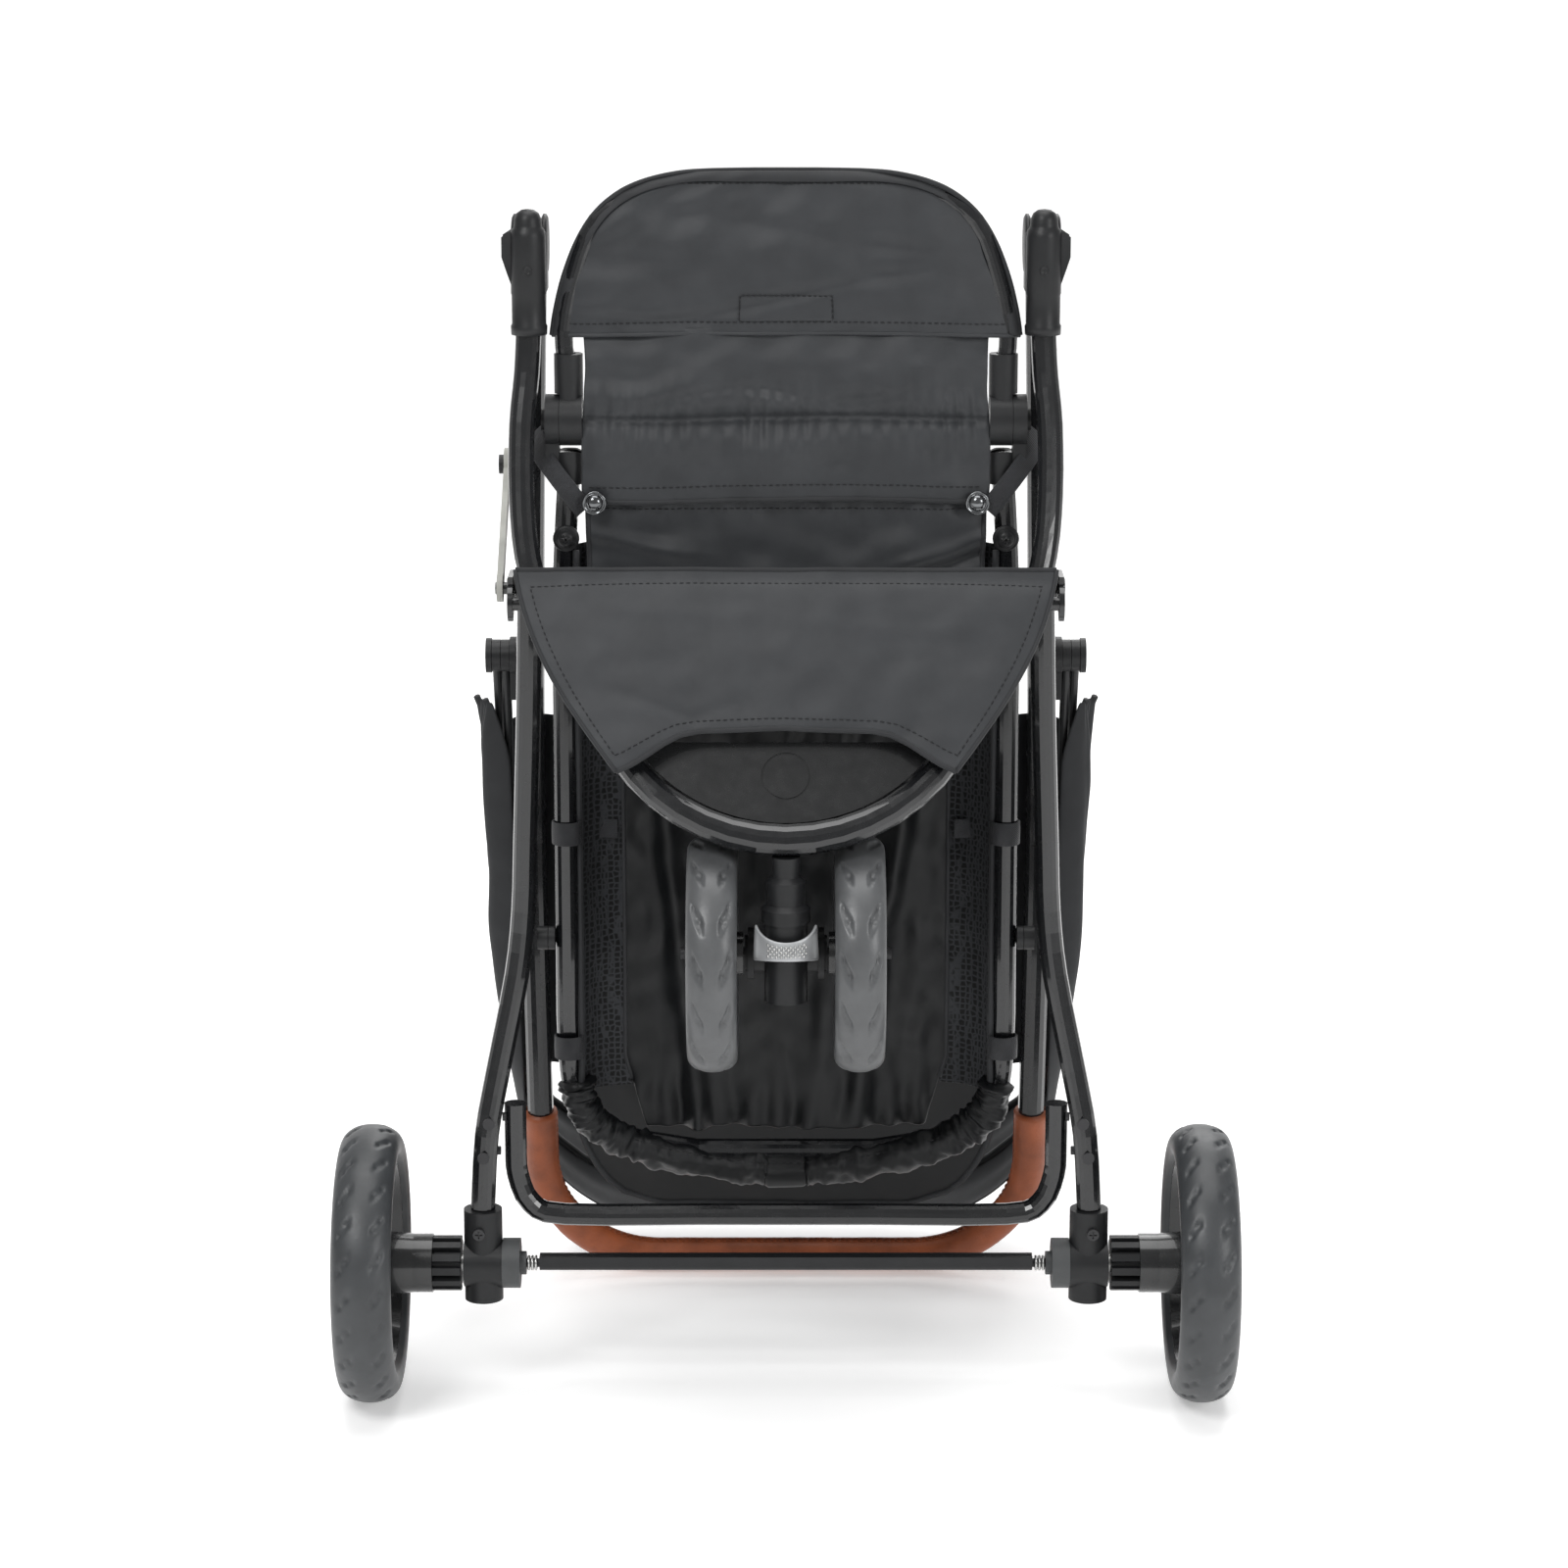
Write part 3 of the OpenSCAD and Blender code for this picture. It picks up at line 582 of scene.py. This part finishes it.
def lower_point(u, v):
    """The lower cloth, with one long diagonal fold near its right end."""
    z = 500 + 119 * v
    t = 2 * u - 1
    y = 40 - 3.4 * (1 - t ** 4) * math.sin(math.pi * v)
    fold = z - 578 - 0.36 * (t * 130 - 92)
    y -= 5 * bell(fold, 6) * max(0.0, min(1.0, (t - 0.3) * 3))
    y += 4 * bell(fold + 11, 4) * max(0.0, min(1.0, (t - 0.4) * 3))
    y -= 3 * bell(z - 588 + 0.2 * (t * 130 + 100), 5) * max(0.0, min(1.0, (-t - 0.3) * 3))
    y += 5.0 * ripple(t * 130 - z * 0.5, z * 1.8, 6.3, 46) + 1.6 * ripple(t * 130, z, 9.4, 17)
    y += 1.1 * bell(v - 1, 0.12) * math.sin(t * 46)
    return (133 - 3 * (1 - v)) * t, y, z


def make_lower_panel():
    panel = cloth_sheet("lower_cloth", lower_point, 96, 40, CHARCOAL)
    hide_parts("lower_panel")
    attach(panel, "cabin")
    stitches("lower_hem_stitch", [lower_point(i / 60, 0.93) for i in range(1, 60)], (0, -0.9, 0),
             body="cabin")
    for s in (-1, 1):
        side = [lower_point((1 + 0.985 * s) / 2, i / 20) for i in range(21)]
        name = "lower_binding_" + ("left" if s < 0 else "right")
        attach(tube(name, side, 1.8, BINDING, (1, 0, 0)), "cabin")


APRON_TILT = math.radians(30)
APRON_FOOT = [(-109, 131), (-99, 126), (-89, 119.5), (-79, 112.5), (-68, 106.5), (-56, 104),
              (0, 102.5), (56, 104), (68, 106.5), (79, 112.5), (89, 119.5), (99, 126), (109, 131)]


def on_apron(x, w, lift):
    """A point x across and w down the apron's leaning plane, lifted off it."""
    return (x, -16 - w * math.sin(APRON_TILT) - lift * math.cos(APRON_TILT),
            574 - w * math.cos(APRON_TILT) + lift * math.sin(APRON_TILT))


def apron_point(u, v, lift=0.0):
    t = 2 * u - 1
    foot_x = 109 * t
    foot_w = between(APRON_FOOT, foot_x)
    x = 176 * t + (foot_x - 176 * t) * v
    x += math.copysign(abs(t) ** 3 * 11 * math.sin(math.pi * v ** 0.9), t)
    w = -6 + (foot_w + 6) * v
    crown = 4.5 * (1 - t * t) * math.sin(math.pi * v)
    crown += 2.4 * ripple(x, w * 2, 2.6, 70) + 1.1 * ripple(x, w * 1.6, 7.7, 26)
    crown -= 1.8 * bell(w - 96 + 0.35 * abs(x + 60), 5) * bell(x + 78, 34)
    crown -= 1.4 * bell(v - 0.06, 0.05)
    crown += 1.0 * bell(w - 30 - 12 * t, 6) * (1 - abs(t)) * abs(t) * 3
    return on_apron(x, w, crown + lift)


def make_apron():
    panel = cloth_sheet("apron_cloth", apron_point, 96, 40, CHARCOAL)
    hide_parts("apron")
    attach(panel, "front_frame")
    rows = {
        "apron_foot_binding": ([apron_point(i / 72, 1.0) for i in range(73)], 1.7),
        "apron_side_left": ([apron_point(0.0, i / 24) for i in range(25)], 1.6),
        "apron_side_right": ([apron_point(1.0, i / 24) for i in range(25)], 1.6),
        "apron_top_hem": ([apron_point(i / 72, 0.0) for i in range(73)], 1.6),
    }
    for name, (path, r) in rows.items():
        ref = (0, 1, 0) if "side" not in name else (1, 0, 0)
        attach(tube(name, path, r, BINDING, ref), "front_frame")
    stitches("apron_hem_stitch", [apron_point(0.02 + 0.96 * i / 72, 0.085) for i in range(73)],
             (0, -0.9, 0), body="front_frame")
    stitches("apron_foot_stitch", [apron_point(0.02 + 0.96 * i / 72, 0.935) for i in range(73)],
             (0, -0.9, 0), body="front_frame")
    for name, u in (("left", 0.022), ("right", 0.978)):
        stitches("apron_side_stitch_" + name, [apron_point(u, 0.09 + 0.85 * i / 24)
                 for i in range(25)], (0, -0.9, 0), body="front_frame")


def floor_point(u, v):
    """The nylon floor hangs in long slanting folds between the mesh strips."""
    z = 176 + 420 * v
    t = 2 * u - 1
    half = 110 - 14 * max(0.0, 0.12 - v) / 0.12
    x = half * t
    y = 66 - 5 * (1 - t * t)
    lean = x - (z - 380) * 0.16
    y -= 9 * bell(lean - 76, 8) + 8 * bell(lean - 42 + 0.1 * (z - 300), 10)
    y -= 8 * bell(x + 84 + 0.10 * (z - 420), 8) + 6 * bell(x + 44 - 0.2 * (z - 250), 11)
    y += 7 * ripple(x * 2.4, z * 0.7, 1.3, 70) + 2.6 * ripple(x * 2, z * 1.3, 3.9, 24)
    y += 2.2 * bell(v, 0.08) * math.sin(x * 0.33)
    return x, y, z


def mesh_point(side):
    def shape(u, v):
        z = 206 + 380 * v
        foot = floor_point(0.5 + 0.5 * side, (z - 176) / 420)
        outer = Vector((side * 140, 44, z))
        p = outer.lerp(Vector(foot), u)
        sag = math.sin(math.pi * u)
        x = p.x + side * 1.5 * sag
        y = p.y + 5 * sag + 3.0 * ripple(u * 40, z, 4 + side, 34) * sag
        return x, y, z
    return shape


def make_cabin_cloth():
    floor = cloth_sheet("floor_cloth", floor_point, 90, 110, NYLON)
    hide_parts("cabin_floor")
    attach(floor, "cabin")
    for name, side in (("left", -1), ("right", 1)):
        strip = cloth_sheet("mesh_strip_" + name, mesh_point(side), 14, 80, MESH)
        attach(strip, "cabin")
        seam = [tuple(Vector(floor_point(0.5 + 0.5 * side, (z - 176) / 420))) for z in
                range(210, 586, 8)]
        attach(tube("floor_seam_" + name, seam, 1.7, BINDING, (1, 0, 0)), "cabin")
        hem = [(side * 139, 42, z) for z in range(206, 590, 8)]
        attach(tube("mesh_hem_" + name, hem, 2.2, BINDING, (1, 0, 0)), "cabin")


def make_gathered_edge():
    half = smooth_path([(-143, 42, 214), (-139, 46, 196), (-126, 52, 178), (-98, 55, 163),
                        (-50, 57, 151), (-12, 57, 147)], 14)
    path = both_ways(half)

    def radius(along_edge, turn):
        angle = math.tau * turn
        ring = Vector((along_edge * 34, 1.3 * math.cos(angle), 1.3 * math.sin(angle)))
        fine = Vector((along_edge * 95, 2.2 * math.cos(angle), 2.2 * math.sin(angle) + 7))
        slant = math.sin(along_edge * 150 + 5 * math.sin(along_edge * 23) + 1.6 * math.sin(angle))
        return 11.6 + 3.4 * noise.noise(ring) + 1.5 * noise.noise(fine) + 0.6 * slant

    dense = smooth_path(path, 4)
    edge = tube("gathered_hem", dense, radius, NYLON, (0, 1, 0), 26)
    bake(edge, ("SMOOTH", {"factor": 0.5, "iterations": 1}))
    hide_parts("gathered_edge")
    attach(edge, "cabin")
    seam = [tuple(Vector(p) + Vector((0, -9.5, 7.5))) for p in path]
    stitches("gather_stitch", seam, (0, 0, 0), 4.8, 3.0, body="cabin")


def wall_point(side):
    def shape(u, v):
        z = 228 + 366 * v
        x = -124 + 118 * u
        y = 80 + 1.6 * ripple(x, z, 2.2, 60) - 1.2 * math.sin(math.pi * u)
        return -side * x, y, z - 16 * u * v + 14 * u * (1 - v)
    return shape


def make_walls():
    for name, side in (("left", -1), ("right", 1)):
        wall = cloth_sheet("wall_cloth_" + name, wall_point(side), 30, 64, CHARCOAL,
                           1.6)
        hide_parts("side_wall_" + name)
        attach(wall, "wall_" + name)
        shape = wall_point(side)
        window = cloth_sheet("wall_window_" + name, lambda u, v: tuple(
            Vector(shape(0.18 + 0.64 * u, 0.12 + 0.76 * v)) + Vector((0, 1.5, 0))), 14, 40, MESH,
            0.8)
        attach(window, "wall_" + name)
        rim = [shape(0.0, i / 30) for i in range(31)] + [shape(i / 10, 1.0) for i in range(1, 11)]
        rim += [shape(1.0, 1 - i / 30) for i in range(1, 31)]
        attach(tube("wall_binding_" + name, rim, 1.8, BINDING), "wall_" + name)


# ---- canopy ------------------------------------------------------------------------
HANDLE_TILT = math.degrees(math.atan(0.238))
MID_ANGLE, FRONT_ANGLE = 20, 26
CANOPY_PIVOT = (134, 492)
CANOPY_LEN, CANOPY_CORNER = 462, 110


def hung(pivot, angle, x, s):
    a = math.radians(angle)
    return x, pivot[0] + s * math.sin(a), pivot[1] - s * math.cos(a)


def u_outline(t, x_top, x_low, s0):
    """Across (x) and along (s) of a U-shaped bow, for t from 0 (left) to 1 (right)."""
    side = -1 if t < 0.5 else 1
    q = 1 - abs(2 * t - 1)
    arm, arc = CANOPY_LEN - CANOPY_CORNER - s0, CANOPY_CORNER * math.pi / 2
    flat = x_low - CANOPY_CORNER
    d = q * (arm + arc + flat)
    if d < arm:
        return side * (x_top + (x_low - x_top) * d / arm), s0 + d
    if d < arm + arc:
        a = (d - arm) / CANOPY_CORNER
        return (side * (x_low - CANOPY_CORNER * (1 - math.cos(a))),
                CANOPY_LEN - CANOPY_CORNER + CANOPY_CORNER * math.sin(a))
    return side * (flat - (d - arm - arc)), CANOPY_LEN


# The folded cloth's tip and foot along a bow's arm, and how long it takes to rise and to fade.
LOBE_TIP, LOBE_FOOT, LOBE_RISE, LOBE_FADE = 36, 352, 46, 120
TIP_OUT = 11


def lobe(s):
    """How far the folded cloth swells out of its bows, from its tip down the arm."""
    rise = max(0.0, min(1.0, (s - LOBE_TIP) / LOBE_RISE))
    fade = max(0.0, min(1.0, (LOBE_FOOT - s) / LOBE_FADE))
    return (0.12 + 0.88 * math.sin(rise * math.pi / 2)) * (0.3 + 0.7 * math.sin(fade * math.pi / 2))


def tip_out(s):
    """The tip leans outwards, so that it ends in a point."""
    return TIP_OUT * max(0.0, 1 - (s - LOBE_TIP) / LOBE_RISE) ** 1.3


def canopy_panel(angle_a, angle_b, xa, xb, swell, seed):
    def shape(u, v):
        angle = angle_a + (angle_b - angle_a) * v
        x_low = xa + (xb - xa) * v
        x, s = u_outline(u, x_low + 3, x_low, LOBE_TIP)
        x += math.copysign(tip_out(s), x)
        away = math.sin(math.pi * v) ** 0.8
        fat = swell * lobe(s)
        pleat = 1.6 * math.sin(v * 9.4 + 2 * noise.noise(Vector((u * 9, v, seed))))
        push = away * (fat + pleat) + away * 3 * noise.noise(Vector((u * 22, v * 2, seed)))
        flat = max(0.0, min(1.0, (s - (CANOPY_LEN - CANOPY_CORNER)) / CANOPY_CORNER))
        x += math.copysign(push * (1 - flat), x)
        return hung(CANOPY_PIVOT, angle, x, s + push * flat * 0.8)
    return shape


def make_canopy():
    wrap = 13.6

    rear = cloth_sheet("canopy_rear_cloth", canopy_panel(wrap, MID_ANGLE, 189, 192.7, 19, 1.0),
                       150, 22, CANOPY_CLOTH, 1.4)
    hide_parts("canopy_cloth_rear")
    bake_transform(rear)
    front = cloth_sheet("canopy_front_cloth",
                        canopy_panel(MID_ANGLE, FRONT_ANGLE, 193, 199, 13, 2.0),
                        150, 22, CANOPY_CLOTH, 1.4)
    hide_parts("canopy_cloth_front")
    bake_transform(front)
    for name, angle, x, body in (("mid", MID_ANGLE, 193.5, "canopy_mid"),
                                 ("front", FRONT_ANGLE, 199.5, "canopy_front")):
        path = []
        for i in range(121):
            px, s = u_outline(i / 120, x, x, LOBE_TIP)
            px += math.copysign(tip_out(s), px)
            flat = max(0.0, (s - 352) / 110)
            path.append(hung(CANOPY_PIVOT, angle, px + math.copysign(3.6 * (1 - flat), px),
                             s + 3.6 * flat))
        a = math.radians(angle)
        piping = tube("canopy_piping_" + name, path, 2.4, BINDING,
                      (0, math.cos(a), math.sin(a)))
        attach(piping, body)


def curtain_point(u, v):
    """The rear curtain hangs between the handle tubes down to a rounded foot."""
    t = 2 * u - 1
    s = 330 + 411 * v
    round_off = max(0.0, (s - 651) / 90)
    half = 152 - 62 * (1 - math.sqrt(max(0.0, 1 - min(1, round_off) ** 2)))
    x = half * t
    p = Vector(hung(HANDLE_PIVOT, HANDLE_TILT, x, s))
    lift = -8 * (1 - t * t) * math.sin(math.pi * min(1, v * 0.9))
    lift += 3.5 * ripple(x * 1.6, s, 5.5, 60) + 1.3 * ripple(x, s, 2.5, 20)
    return p.x, p.y + lift, p.z


def gusset_point(side):
    """From the curtain's edge, round the back of the handle tube, to the canopy's edge."""
    def shape(u, v):
        s = 48 + 282 * v
        inner = Vector(curtain_point(0.5 + 0.5 * side, max(0.0, (s - 32) / 411)))
        outer = Vector(hung(CANOPY_PIVOT, 13.7, side * 190, s))
        p = inner.lerp(outer, u)
        p.z = outer.z
        return p.x, outer.y + 15 * math.sin(math.pi * u) ** 0.8 + (inner.y - outer.y) * (1 - u), p.z
    return shape


def make_curtain():
    curtain = cloth_sheet("canopy_curtain", curtain_point, 70, 84, NYLON,
                          1.4)
    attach(curtain, "handle")
    for name, side in (("left", -1), ("right", 1)):
        gusset = cloth_sheet("canopy_gusset_" + name, gusset_point(side), 16, 60, CANOPY_CLOTH,
                             1.2)
        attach(gusset, "handle")
    rim = [curtain_point(0.0, i / 40) for i in range(41)]
    rim += [curtain_point(i / 24, 1.0) for i in range(1, 25)]
    rim += [curtain_point(1.0, 1 - i / 40) for i in range(1, 41)]
    binding = tube("curtain_piping", rim, 2.6, BINDING)
    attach(binding, "handle")


# ---- handle grip, straps and small hardware --------------------------------------------
GRIP_START, HANDLE_CORNER, HANDLE_X = 663, 85, 178
GRIP_R = 12.5
HANDLE_LEN = (782 - GRIP_R - FLOOR_Z) / math.cos(math.radians(HANDLE_TILT))


def grip_path():
    half = [hung(HANDLE_PIVOT, HANDLE_TILT, -HANDLE_X, GRIP_START + i * 4) for i in range(10)]
    for i in range(25):
        a = math.pi / 2 * i / 24
        half.append(hung(HANDLE_PIVOT, HANDLE_TILT, -HANDLE_X + HANDLE_CORNER * (1 - math.cos(a)),
                         HANDLE_LEN - HANDLE_CORNER + HANDLE_CORNER * math.sin(a)))
    half += [hung(HANDLE_PIVOT, HANDLE_TILT, -86 + 7 * i, HANDLE_LEN) for i in range(13)]
    return both_ways(half)


def make_grip():
    path = grip_path()
    tilt = math.radians(HANDLE_TILT)
    ref = (0, math.cos(tilt), math.sin(tilt))

    def radius(t, turn):
        end = min(t, 1 - t)
        corner = bell(end - 0.17, 0.07)
        rings = 0.22 * math.sin(t * 520 + 2 * math.sin(turn * math.tau)) * corner
        seam = -0.55 * bell(((turn + 0.5) % 1) - 0.5, 0.016)
        cuff = 0.35 * bell(end - 0.012, 0.008)
        soft = 0.2 * noise.noise(Vector((t * 60, turn * 4, 1.0)))
        return GRIP_R - 0.45 + rings + seam + cuff + soft

    grip = tube("grip_leather", path, radius, TAN, ref, 40)
    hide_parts("leather_grip")
    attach(grip, "handle")
    for name, s in (("seam_a", 1.5), ("seam_b", -1.5)):
        line = []
        for i in range(len(path)):
            _, u, v = frame_at(path, i, Vector(ref))
            line.append(tuple(Vector(path[i]) + u * (GRIP_R - 0.4) + v * s))
        row = stitches("grip_" + name, line, (0, 0, 0), 4.6, 3.2, 0.4)
        row.data.materials.clear()
        row.data.materials.append(TAN)
        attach(row, "handle")


def make_snaps():
    for name, side in (("left", -1), ("right", 1)):
        low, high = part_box("snap_buttons")
        x = (low.x if side < 0 else high.x) / MM - side * 7
        _, y, z = design((low + high) / 2)
        dome = [(0.01, -3.4), (2.4, -3.1), (4.2, -2.2), (5.4, -0.8), (5.8, 0.2), (6.4, 0.2),
                (6.9, -0.5), (7.6, -0.4), (8.0, 0.5), (8.0, 1.8)]
        snap = lathe("snap_" + name, dome, (x, y - 2.6, z), "y", SNAP, 40)
        if side < 0:
            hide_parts("snap_buttons")
        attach(snap, "cabin")


def make_straps():
    for name, s in (("left", -1), ("right", 1)):
        path = smooth_path([(s * 166, 66, 658), (s * 162, 48, 647), (s * 154, 38, 637),
                            (s * 146, 34, 627), (s * 139, 33.5, 618), (s * 133, 35, 610)])
        strap = ribbon("strap_" + name, path, (0.74, 0, 0.67 * -s), 13, WEBBING)
        if s < 0:
            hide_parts("webbing_straps")
        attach(strap, "cabin")
        loop_centre = (s * 147.5, 41.5, 390)
        band = [(9.3, -8), (9.9, -7.6), (10.1, 0), (9.9, 7.6), (9.3, 8), (8.6, 7.6), (8.6, -7.6),
                (9.3, -8)]
        for k, dz in enumerate((0, -150)):
            wrap = add_band(f"tube_loop_{name}_{k}", band, Vector(loop_centre) + Vector((0, 0, dz)))
            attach(wrap, "cabin")
        tag = [(s * 147, 50, 390), (s * 140, 57, 389), (s * 128, 61, 388), (s * 114, 62, 387)]
        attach(ribbon("loop_tail_" + name, smooth_path(tag, 4), (0, 0, 1), 13, WEBBING,
                       1.4), "cabin")


def add_band(name, outline, centre):
    points, steps = [], 28
    for k in range(steps):
        a = math.tau * k / steps
        points += [(centre.x + r * math.cos(a), centre.y + r * math.sin(a), centre.z + d)
                   for r, d in outline]
    m = len(outline)
    faces = [(k * m + j, k * m + j + 1, ((k + 1) % steps) * m + j + 1, ((k + 1) % steps) * m + j)
             for k in range(steps) for j in range(m - 1)]
    return add(name, points, faces, WEBBING)


def make_screws():
    """Cross-head screws and their flat links below the knuckles."""
    for name, s in (("left", -1), ("right", 1)):
        x, z = s * 145.5, 590
        head = [(0.01, -2.6), (2.6, -2.5), (4.4, -1.9), (5.2, -0.8), (5.3, 0.0), (6.6, 0.2),
                (6.9, 0.9), (6.9, 2.0)]
        screw = lathe("link_screw_" + name, head, (x, 39.5, z), "y", PLASTIC, 36)
        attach(screw, "cabin")
        for k, (dx, dz) in enumerate(((3.2, 0.9), (0.9, 3.2))):
            slot_mark = ribbon(f"link_slot_{name}_{k}", [(x - dx, 36.95, z), (x + dx, 36.95, z)],
                               (0, 0, 1), dz * 2, GLOSS, 0.5)
            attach(slot_mark, "cabin")
        plate = [(0.01, 1.2), (8.2, 1.2), (8.8, 1.8), (8.8, 3.6), (0.01, 3.6)]
        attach(lathe("link_boss_" + name, plate, (x, 39.4, z), "y", PLASTIC, 36),
                "cabin")


def block(name, low, high, material, round_mm=1.5):
    """A box with rounded edges."""
    corners = [(x, y, z) for x in (low[0], high[0]) for y in (low[1], high[1])
               for z in (low[2], high[2])]
    faces = [(0, 1, 3, 2), (4, 6, 7, 5), (0, 4, 5, 1), (2, 3, 7, 6), (0, 2, 6, 4), (1, 5, 7, 3)]
    obj = add(name, corners, faces, material)
    return bake(obj, ("BEVEL", {"width": round_mm * MM, "segments": 3}))


HOUSING_X, HOUSING_Y = 168.2, 44


def make_housings():
    """A round column with a domed cap, two cheeks about the hinge and a side wing."""
    column = [(0.01, 725), (9.4, 725), (11.8, 725.4), (12.0, 731), (11.2, 732.5), (11.2, 751),
              (11.6, 752.5), (11.6, 789), (11.0, 793.5), (9.6, 795), (9.2, 797), (8.8, 801),
              (7.2, 804.5), (4.2, 806.6), (0.01, 807.2)]
    for name, s in (("left", -1), ("right", 1)):
        body = lathe("housing_column_" + name, column, (s * HOUSING_X, HOUSING_Y, 0), "z", PLASTIC,
                     44)
        if s < 0:
            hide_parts("hinge_housings")
        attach(body, "front_frame")
        for k, (a, b) in enumerate(((156.2, 160.4), (174.6, 179.8))):
            cheek = [(0.01, a), (17.6, a), (19.8, a + 1.2), (19.8, b - 1.2), (17.6, b), (0.01, b)]
            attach(lathe(f"housing_cheek_{name}_{k}", [(r, s * d) for r, d in cheek],
                          (0, *HANDLE_PIVOT), "x", PLASTIC, 56), "front_frame")
        for k, (low, high) in enumerate((((156.4, 46, 752), (160.2, 68, 792)),
                                         ((174.8, 46, 752), (179.6, 68, 792)))):
            xs = sorted((s * low[0], s * high[0]))
            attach(block(f"housing_web_{name}_{k}", (xs[0], low[1], low[2]),
                          (xs[1], high[1], high[2]), PLASTIC), "front_frame")
        wing = [(176, 790), (180, 791.5), (184.6, 788.5), (184.6, 776), (182, 768), (177.5, 755)]
        corners = [(s * x, y, z) for y in (42, 58) for x, z in wing]
        count = len(wing)
        sides = [(k, (k + 1) % count, (k + 1) % count + count, k + count) for k in range(count)]
        sides += [tuple(range(count)), tuple(range(2 * count - 1, count - 1, -1))]
        piece = add("housing_wing_" + name, corners, sides, PLASTIC)
        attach(bake(piece, ("BEVEL", {"width": MM, "segments": 3})), "front_frame")
        dent = [(0.01, -0.3), (1.6, -0.5), (2.4, -1.2), (3.0, -1.0), (3.2, 0.6)]
        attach(lathe("housing_rivet_" + name, dent, (s * HOUSING_X, 32.9, 768), "y", PLASTIC,
                      28), "front_frame")


def make_tab():
    """The swivel lock's silver collar, with rows of raised dots."""
    cz = design(middle("swivel_lock_tab"))[2]
    reach = math.radians(76)

    def wall(u, v, radius):
        a = (2 * u - 1) * reach
        q = (a / reach) ** 2
        z = cz - 7.5 - 3.5 * q + (12.5 + 12 * q) * v
        return radius * math.sin(a), CASTER_Y - radius * math.cos(a), z
    collar = cloth_sheet("tab_collar", lambda u, v: wall(u, v, 20.0 + 1.2 * (1 - v)), 40, 10,
                         TAB_SILVER, 2.2)
    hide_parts("swivel_lock_tab")
    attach(collar, "lock_tab")
    points, faces = [], []
    for row in range(5):
        for col in range(9):
            u = 0.5 + (col - 4 + 0.5 * (row % 2)) * 0.052
            centre = Vector(wall(u, 0.24 + row * 0.13, 22.2))
            base = len(points)
            for r, lift in ((0.95, 0.0), (0.8, 0.45), (0.35, 0.75)):
                for k in range(10):
                    a = math.tau * k / 10
                    points.append((centre.x + r * math.cos(a), centre.y - lift,
                                   centre.z + r * math.sin(a)))
            for j in range(2):
                for k in range(10):
                    n = (k + 1) % 10
                    faces.append((base + j * 10 + k, base + j * 10 + n, base + j * 10 + 10 + n,
                                  base + j * 10 + 10 + k))
            faces.append(tuple(base + 20 + k for k in range(10)))
    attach(add("tab_dots", points, faces, STEEL), "lock_tab")


# ---- studio -------------------------------------------------------------------------
def make_studio():
    def flat(name, color, rough):
        m = Mat(name, color, rough)
        m.vary(m.texture("Noise", 3, Detail=2), 0.99, 1.01)
        return m.m
    size, rise, run = 9.0, 4.0, 5.0
    rows = [(-size, 0.0), (run - 1.4, 0.0)]
    rows += [(run - 1.4 + 1.4 * math.sin(a), 1.4 - 1.4 * math.cos(a))
             for a in (math.pi / 2 * i / 12 for i in range(1, 13))]
    rows += [(run, rise)]
    points = [(x, y, z - 0.0004) for y, z in rows for x in (-size, size)]
    faces = [(2 * i, 2 * i + 1, 2 * i + 3, 2 * i + 2) for i in range(len(rows) - 1)]
    mesh = bpy.data.meshes.new("studio_floor")
    mesh.from_pydata(points, [], faces)
    white = flat("studio_white", (0.94, 0.94, 0.94), 0.8)
    glow = white.node_tree.nodes["Principled BSDF"]
    glow.inputs["Emission Color"].default_value = (1, 1, 1, 1)
    glow.inputs["Emission Strength"].default_value = 0.34
    mesh.materials.append(white)
    for polygon in mesh.polygons:
        polygon.use_smooth = True
    floor = bpy.data.objects.new("studio_floor", mesh)
    bpy.context.scene.collection.objects.link(floor)
    for name, where, width, power, aim in (
            ("key", (-1.5, -2.6, 3.2), 1.3, 64, (0, 0, 0.4)),
            ("fill", (2.4, -2.4, 1.7), 1.1, 32, (0, 0, 0.4)),
            ("top", (0.0, 0.2, 3.6), 2.6, 70, (0, 0, 0)),
            ("back", (0.6, 2.8, 2.6), 1.8, 30, (0, 0, 0.5))):
        light = bpy.data.objects.new(name, bpy.data.lights.new(name, "AREA"))
        light.data.shape = "SQUARE"
        light.data.size = width
        light.data.energy = power
        light.location = where
        light.rotation_euler = (Vector(aim) - Vector(where)).to_track_quat("-Z", "Y").to_euler()
        bpy.context.scene.collection.objects.link(light)
    world = bpy.data.worlds.new("studio")
    world.use_nodes = True
    background = world.node_tree.nodes["Background"]
    background.inputs["Color"].default_value = (1, 1, 1, 1)
    background.inputs["Strength"].default_value = 0.34
    bpy.context.scene.world = world
    bpy.context.scene.view_settings.view_transform = "Standard"


finish_nodes()
make_wheels()
make_top_flap()
make_mid_panel()
make_lower_panel()
make_apron()
make_cabin_cloth()
make_gathered_edge()
make_walls()
make_canopy()
make_curtain()
make_grip()
make_snaps()
make_straps()
make_screws()
make_housings()
make_tab()
make_studio()
